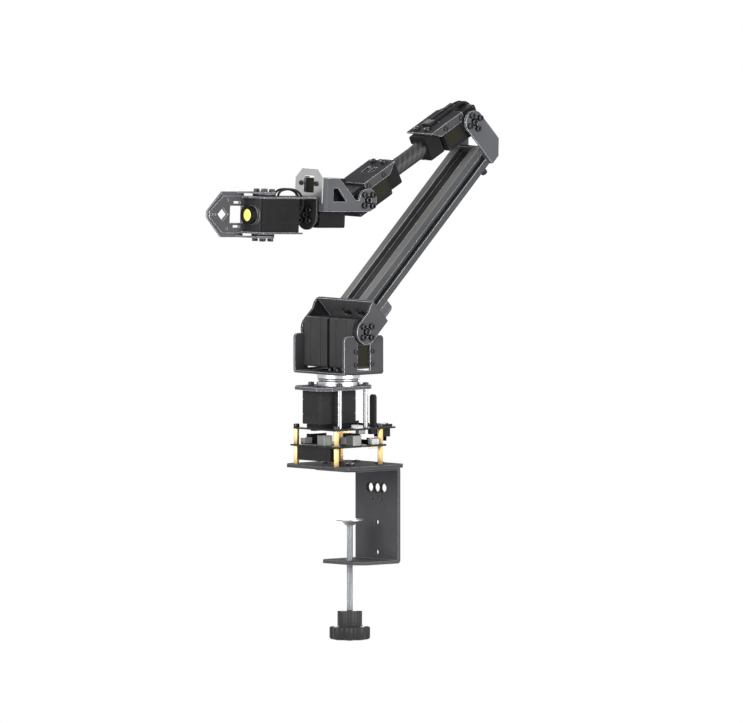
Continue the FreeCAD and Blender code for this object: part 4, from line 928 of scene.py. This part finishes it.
def servo_details(node_name, joint_name, body):
    """Bare label panels and lid screws on both faces of a servo that its shaft passes through."""
    points = node_points(node_name)
    axis = np.array(joints[joint_name]["axis"])
    shaft = np.array(joints[joint_name]["pos_m"])
    tail = np.mean(extent(points), axis=0) - shaft
    spot = Axes(shaft, tail - (tail @ axis) * axis, axis)
    low, high = extent(spot.into(points))
    panel = Piece(node_name + "_labels")
    lids = Piece(node_name + "_lid_screws")
    end = high[0] - label_margin
    size = (end - label_start, label_share * (high[1] - low[1]), 2 * label_film)
    block = soft_block(size, squareness=0.1, rows=7, columns=40)
    head = screw_surface(*lid_screw_sizes)
    for face, way in ((high[2], 1), (low[2], -1)):
        panel.add(spot.out(block + np.array([(label_start + end) / 2, 0.0, face])))
        for x in (low[0] + lid_screw_inset, high[0] - lid_screw_inset):
            for y in (low[1] + lid_screw_inset, high[1] - lid_screw_inset):
                lids.add(spot.out(head * np.array([1.0, way, way]) + np.array([x, y, face])))
    panel.build("servo_case", body, label_finish)
    lids.build("screw", body)


for servo in (
    ("base_servo", "base_yaw", "base"), ("left_shoulder_servo", "shoulder", "head"),
    ("right_shoulder_servo", "shoulder", "head"), ("elbow_servo", "elbow", "forearm"),
    ("wrist_servo", "wrist_pitch", "forearm"), ("roll_servo", "wrist_roll", "wrist"),
    ("gripper_servo", "grip", "hand"),
):
    servo_details(*servo)


# Forearm

def woven_tube():
    """Carbon tube: a closed profile of two radii carried round X, its map once round and once along."""
    points = forearm.into(node_points("carbon_tube"))
    low, high = extent(points)
    off = np.hypot(points[:, 1], points[:, 2])
    outer, inner = off.max(), off.min()
    count = 64
    start, end = low[0], high[0]
    edge = 0.2 * mm
    radii = [inner, outer - edge, outer, outer, outer - edge, inner]
    heights = np.array([start, start, start + edge, end - edge, end, end])
    surface = forearm.out(revolved_about_x(radii, heights, count))
    around = np.arange(count + 1) / count
    share = (heights - start) / (end - start)
    row, column = np.meshgrid(np.arange(len(radii)), np.arange(count), indexing="ij")
    corners = [(row, column), (row, column + 1), (row + 1, column + 1), (row + 1, column)]
    spots = [np.stack([around[over], share[down % len(radii)]], -1) for down, over in corners]
    chart = np.stack(spots, 2).reshape(-1, 2)
    piece = Piece("woven_tube").add(surface, around_rows=True, chart=chart)
    return piece.build("tube", "forearm", replaces=("carbon_tube",))


woven_tube()


# Leads: routes in millimetres along and above the forearm and the hand

elbow_lead_route = ((29.0, 15.45), (14.0, 15.75), (-1.0, 15.45), (-10.5, 14.2), (-15.5, 8.5), (-16.4, 0.5),
                    (-14.6, -5.0), (-10.6, -6.4))
gripper_lead_route = ((93.5, 17.0), (93.5, 19.4), (90.0, 22.6), (82.5, 23.8), (73.0, 23.2), (66.0, 19.4),
                      (62.8, 12.5), (63.5, 5.0), (69.4, 1.5), (75.5, 0.95))
elbow_lead_spacing, elbow_lead_radius = 5.5 * mm, 1.6 * mm
gripper_lead_spacing, gripper_lead_radius = 5.0 * mm, 1.1 * mm
plug_spot = np.array([33.0 * mm, 0.0, 15.65 * mm])
plug_size = (8.0 * mm, 11.0 * mm, 3.6 * mm)
plug_rib_size = (0.9 * mm, 11.0 * mm, 3.9 * mm)
plug_rib_pitch = 2.0 * mm


def lead(name, axes, route, side, radius, body):
    """Smooth lead: a NURBS line with the route's points as its control points, and a round section."""
    curve = bpy.data.curves.new(name, "CURVE")
    curve.dimensions = "3D"
    curve.bevel_depth = radius
    curve.bevel_resolution = 5
    curve.use_fill_caps = True
    curve.resolution_u = 10
    line = curve.splines.new("NURBS")
    line.points.add(len(route) - 1)
    spots = axes.out(np.array([(x * mm, side, z * mm) for x, z in route]))
    line.points.foreach_set("co", np.column_stack([spots, np.ones(len(spots))]).ravel())
    line.order_u = 3
    line.use_endpoint_u = True
    curve.materials.append(finishes["lead"])
    holder = linked(name, curve)
    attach(holder, body)
    return holder, spots[0]


def lead_pair(stem, axes, route, spacing, radius, body, node_name, plugs):
    """Two leads side by side, in place of a CAD node, which is hidden; the plug at their start is built on its
    own.
    """
    for word, side, pieces in (("left", 0.5, plugs), ("right", -0.5, [])):
        holder, start = lead(stem + word, axes, route, side * spacing, radius, body)
        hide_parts(node_name)
        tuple(start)
        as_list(pieces)


def lead_plug():
    """Flat plug where the elbow leads start, with a ribbed grip."""
    piece = Piece("lead_plug")
    piece.add(forearm.out(soft_block(plug_size, squareness=0.14) + plug_spot))
    rib = soft_block(plug_rib_size, squareness=0.2) + plug_spot
    for step in (-1, 0, 1):
        piece.add(forearm.out(rib + np.array([step * plug_rib_pitch, 0.0, 0.0])))
    return piece.build("lead", "forearm", finishes["connector"], replaces=("elbow_leads",))


lead_pair("elbow_lead_", forearm, elbow_lead_route, elbow_lead_spacing, elbow_lead_radius, "forearm",
          "elbow_leads", [lead_plug()])
lead_pair("gripper_lead_", hand, gripper_lead_route, gripper_lead_spacing, gripper_lead_radius, "hand",
          "gripper_leads", [])


# Hand

tongue_clearance = 2.0 * mm     # cut behind the cradle's rear plate
lower_plate_start = 16.9 * mm   # rear plate to the end of the cradle's lower plate
tongue_cut_reach = 2.5          # outer radius of the cut, in radii of the tongue


def half_ring(inner, outer, start, end, count):
    """Half ring below X: a square section carried through half a turn, drawn to a point at its ends."""
    angle = np.linspace(math.pi, 2 * math.pi, count)
    radius = np.array([inner, outer, outer, inner])[:, None]
    level = np.array([start, start, end, end])[:, None]
    band = np.stack(np.broadcast_arrays(level, radius * np.cos(angle), radius * np.sin(angle)), -1)
    ends = [np.repeat(band[:, [column]].mean(0, keepdims=True), len(band), 0) for column in (0, -1)]
    return np.concatenate([ends[0], band, ends[1]], 1)


def merged_copy(node_name):
    """Copy of a CAD node's mesh with its loose triangles joined."""
    shell = bmesh.new()
    shell.from_mesh(frame["nodes"][node_name].data)
    bmesh.ops.remove_doubles(shell, verts=shell.verts, dist=weld_distance)
    mesh = bpy.data.meshes.new(node_name + "_copy")
    shell.to_mesh(mesh)
    shell.free()
    return mesh


def round_tongue_cradle():
    """The cradle with its rear plate cut to a round tongue on the roll axis, its lower plate left free, and
    painted shade on the tongue.
    """
    low, high = extent(hand.into(node_points("hand_cradle")))
    tongue = high[1]
    count = 48
    start, end = low[0] - tongue_clearance, low[0] + lower_plate_start
    ring = half_ring(tongue, tongue_cut_reach * tongue, start, end, count)
    piece = Piece("tongue_cutter").add(hand.out(ring), around_rows=True, around_columns=False)
    holder = linked("round_tongue_cradle", merged_copy("hand_cradle"))
    cutter = linked("tongue_cutter", piece.mesh())
    cut = holder.modifiers.new("tongue", "BOOLEAN")
    cut.operation = "DIFFERENCE"
    cut.solver = "EXACT"
    cut.object = cutter
    whole = bpy.data.meshes.new_from_object(holder.evaluated_get(bpy.context.evaluated_depsgraph_get()))
    holder.modifiers.clear()
    holder.data = whole
    bpy.data.objects.remove(cutter)
    whole.materials.clear()
    # Painted shade: the tongue behind the rear plate in plate black, with less edge wear and highlight
    behind = (hand.out((low[0] + tongue_clearance, 0.0, 0.0)), -hand.x)
    finish = anodised("cradle_sheet_painted_shade", cradle_black, sheet_rim_wear_and_highlight, painted_light_and_shade=([behind], plate_black, 0.75))
    whole.materials.append(finish)
    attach(holder, "hand")
    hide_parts("hand_cradle")


round_tongue_cradle()


# Lamp

lens_foot = 0.55                # shares of the lens's depth
lens_dome = 0.38
lens_ripple = 0.06
lens_ripples = 4
collar_lap = 0.3 * mm           # collar's inside, rim and front edge, from the barrel's surface
collar_rim = 1.4 * mm
collar_top = 0.2 * mm
collar_side = 1.1 * mm          # length of the rim, and of the whole collar
collar_length = 2.4 * mm


def round_in_hand(node_name):
    """Middle of the rear, radius and length of a CAD node that is round about the hand's X."""
    low, high = extent(hand.into(node_points(node_name)))
    rear = (low + high) / 2
    rear[0] = low[0]
    return rear, (high[1] - low[1]) / 2, high[0] - low[0]


def lamp_front():
    """Domed lens: depth times foot + dome (1 - s s) + ripple cos(8 pi s), where s is radius / rim."""
    rear, rim, depth = round_in_hand("lamp_lens")
    rows, count = 22, 48
    share = np.linspace(1.0, 0.0, rows)
    ripple = np.cos(share * 2 * lens_ripples * math.pi)
    dome = depth * (lens_foot + lens_dome * (1 - share ** 2) + lens_ripple * ripple)
    radii = np.concatenate([[0.0, rim], rim * share])
    heights = np.concatenate([[0.0, 0.0], dome])
    piece = Piece("ringed_lens").add(hand.out(revolved_about_x(radii, heights, count) + rear))
    return piece.build("lens", "hand", replaces=("lamp_lens",), crease=50.0)


def lamp_collar():
    """Chamfered ring behind the lamp's barrel: a closed profile of five corners carried round its axis, its bright
    edges a painted highlight.
    """
    rear, barrel = round_in_hand("lamp_body")[:2]
    count = 64
    radii = barrel + np.array([-collar_lap, collar_rim, collar_rim, collar_top, -collar_lap])
    heights = [0.0, 0.0, collar_side, collar_length, collar_length]
    spots = revolved_about_x(radii, heights, count) + rear
    # Bright metal edge colour: a painted highlight on the black collar
    finish = anodised("turned_black_collar_painted_highlight", horn_black, bright_metal, 0.3, rail_edge_radius)
    piece = Piece("lamp_collar").add(hand.out(spots), around_rows=True)
    return piece.build("lamp", "hand", finish, crease=25.0)


lamp_front()
lamp_collar()


# Stage, light and camera

def studio_floor():
    """Wide pale floor under the knob's lowest place: near white with the arm's shadow, clear from below."""
    half = 3.0
    level = cad_box[0][2] - knob_fall
    corners = [(-half, -half, level), (half, -half, level), (half, half, level), (-half, half, level)]
    mesh = bpy.data.meshes.new("studio_floor")
    mesh.from_pydata(corners, [], [(0, 1, 2, 3)])
    floor = linked("studio_floor", mesh)
    look = Finish("floor_paper", Base_Color=floor_white, Roughness=0.9)
    reach = look.node("ShaderNodeVectorMath", {"operation": "LENGTH"}, {0: look.place(flattened)}, "Value")
    paper = shadow_paper + (1.0 - shadow_paper) * ((reach - shadow_reach) / shadow_fade).clamped()
    glow = look.white_background(look.background_rays() * paper, look.principled, "ShaderNodeEmission")
    below = look.node("ShaderNodeNewGeometry", output="Backfacing")
    clear = look.node("ShaderNodeBsdfTransparent")
    shader = look.node("ShaderNodeMixShader", {}, {0: below, 1: glow, 2: clear})
    look.feed(look.end.inputs["Surface"], shader)
    mesh.materials.append(look.material)


def studio_world():
    """White behind the object and in its reflections, a low even fill elsewhere."""
    world = bpy.data.worlds.new("studio")
    bpy.context.scene.world = world
    air = Nodes(world)
    fill = air.node("ShaderNodeBackground", {}, {"Color": (1.0, 1.0, 1.0), "Strength": fill_strength})
    surface = air.white_background(air.background_rays(), fill, "ShaderNodeBackground")
    air.node("ShaderNodeOutputWorld", {}, {"Surface": surface})


def put(holder, spot, right, back):
    """Place an object with its X axis to the right and its Z axis to the back."""
    turn = np.column_stack([right, np.cross(back, right), back])
    holder.matrix_world = Matrix.Translation(spot) @ Matrix(turn.tolist()).to_4x4()


def soft_box(name, direction, distance, size, power):
    """Square area lamp that looks at the middle of the arm."""
    lamp = bpy.data.lights.new(name, "AREA")
    lamp.size = size
    lamp.energy = power
    middle = np.mean(cad_box, axis=0)
    back = np.array(direction) / np.linalg.norm(direction)
    side = np.cross((0.0, 0.0, 1.0), back)
    put(linked(name, lamp), middle + back * distance, side / np.linalg.norm(side), back)


def photo_camera():
    """Parallel camera at the photograph's angle."""
    azimuth, elevation = math.radians(view_azimuth), math.radians(view_elevation)
    right = np.array([math.cos(azimuth), math.sin(azimuth), 0.0])
    ahead = np.array([-math.sin(azimuth), math.cos(azimuth), 0.0])
    back = np.array([0.0, 0.0, math.sin(elevation)]) - ahead * math.cos(elevation)
    camera = bpy.data.cameras.new("photo_camera")
    camera.type = "ORTHO"
    camera.ortho_scale = photo_width / pixels_per_metre
    holder = linked("photo_camera", camera)
    spot = right * aim_right + np.cross(back, right) * aim_up + back * camera_distance
    put(holder, spot, right, back)
    bpy.context.scene.camera = holder


studio_floor()
studio_world()
soft_box("key_light", (-0.15, 1.0, 0.15), distance=1.5, size=1.1, power=32.0)
soft_box("front_light", (0.9, 0.1, 0.3), distance=1.6, size=1.2, power=34.0)
soft_box("rear_light", (-0.7, -1.0, 0.4), distance=1.6, size=1.2, power=22.0)
photo_camera()
bpy.context.scene.view_settings.view_transform = "Standard"
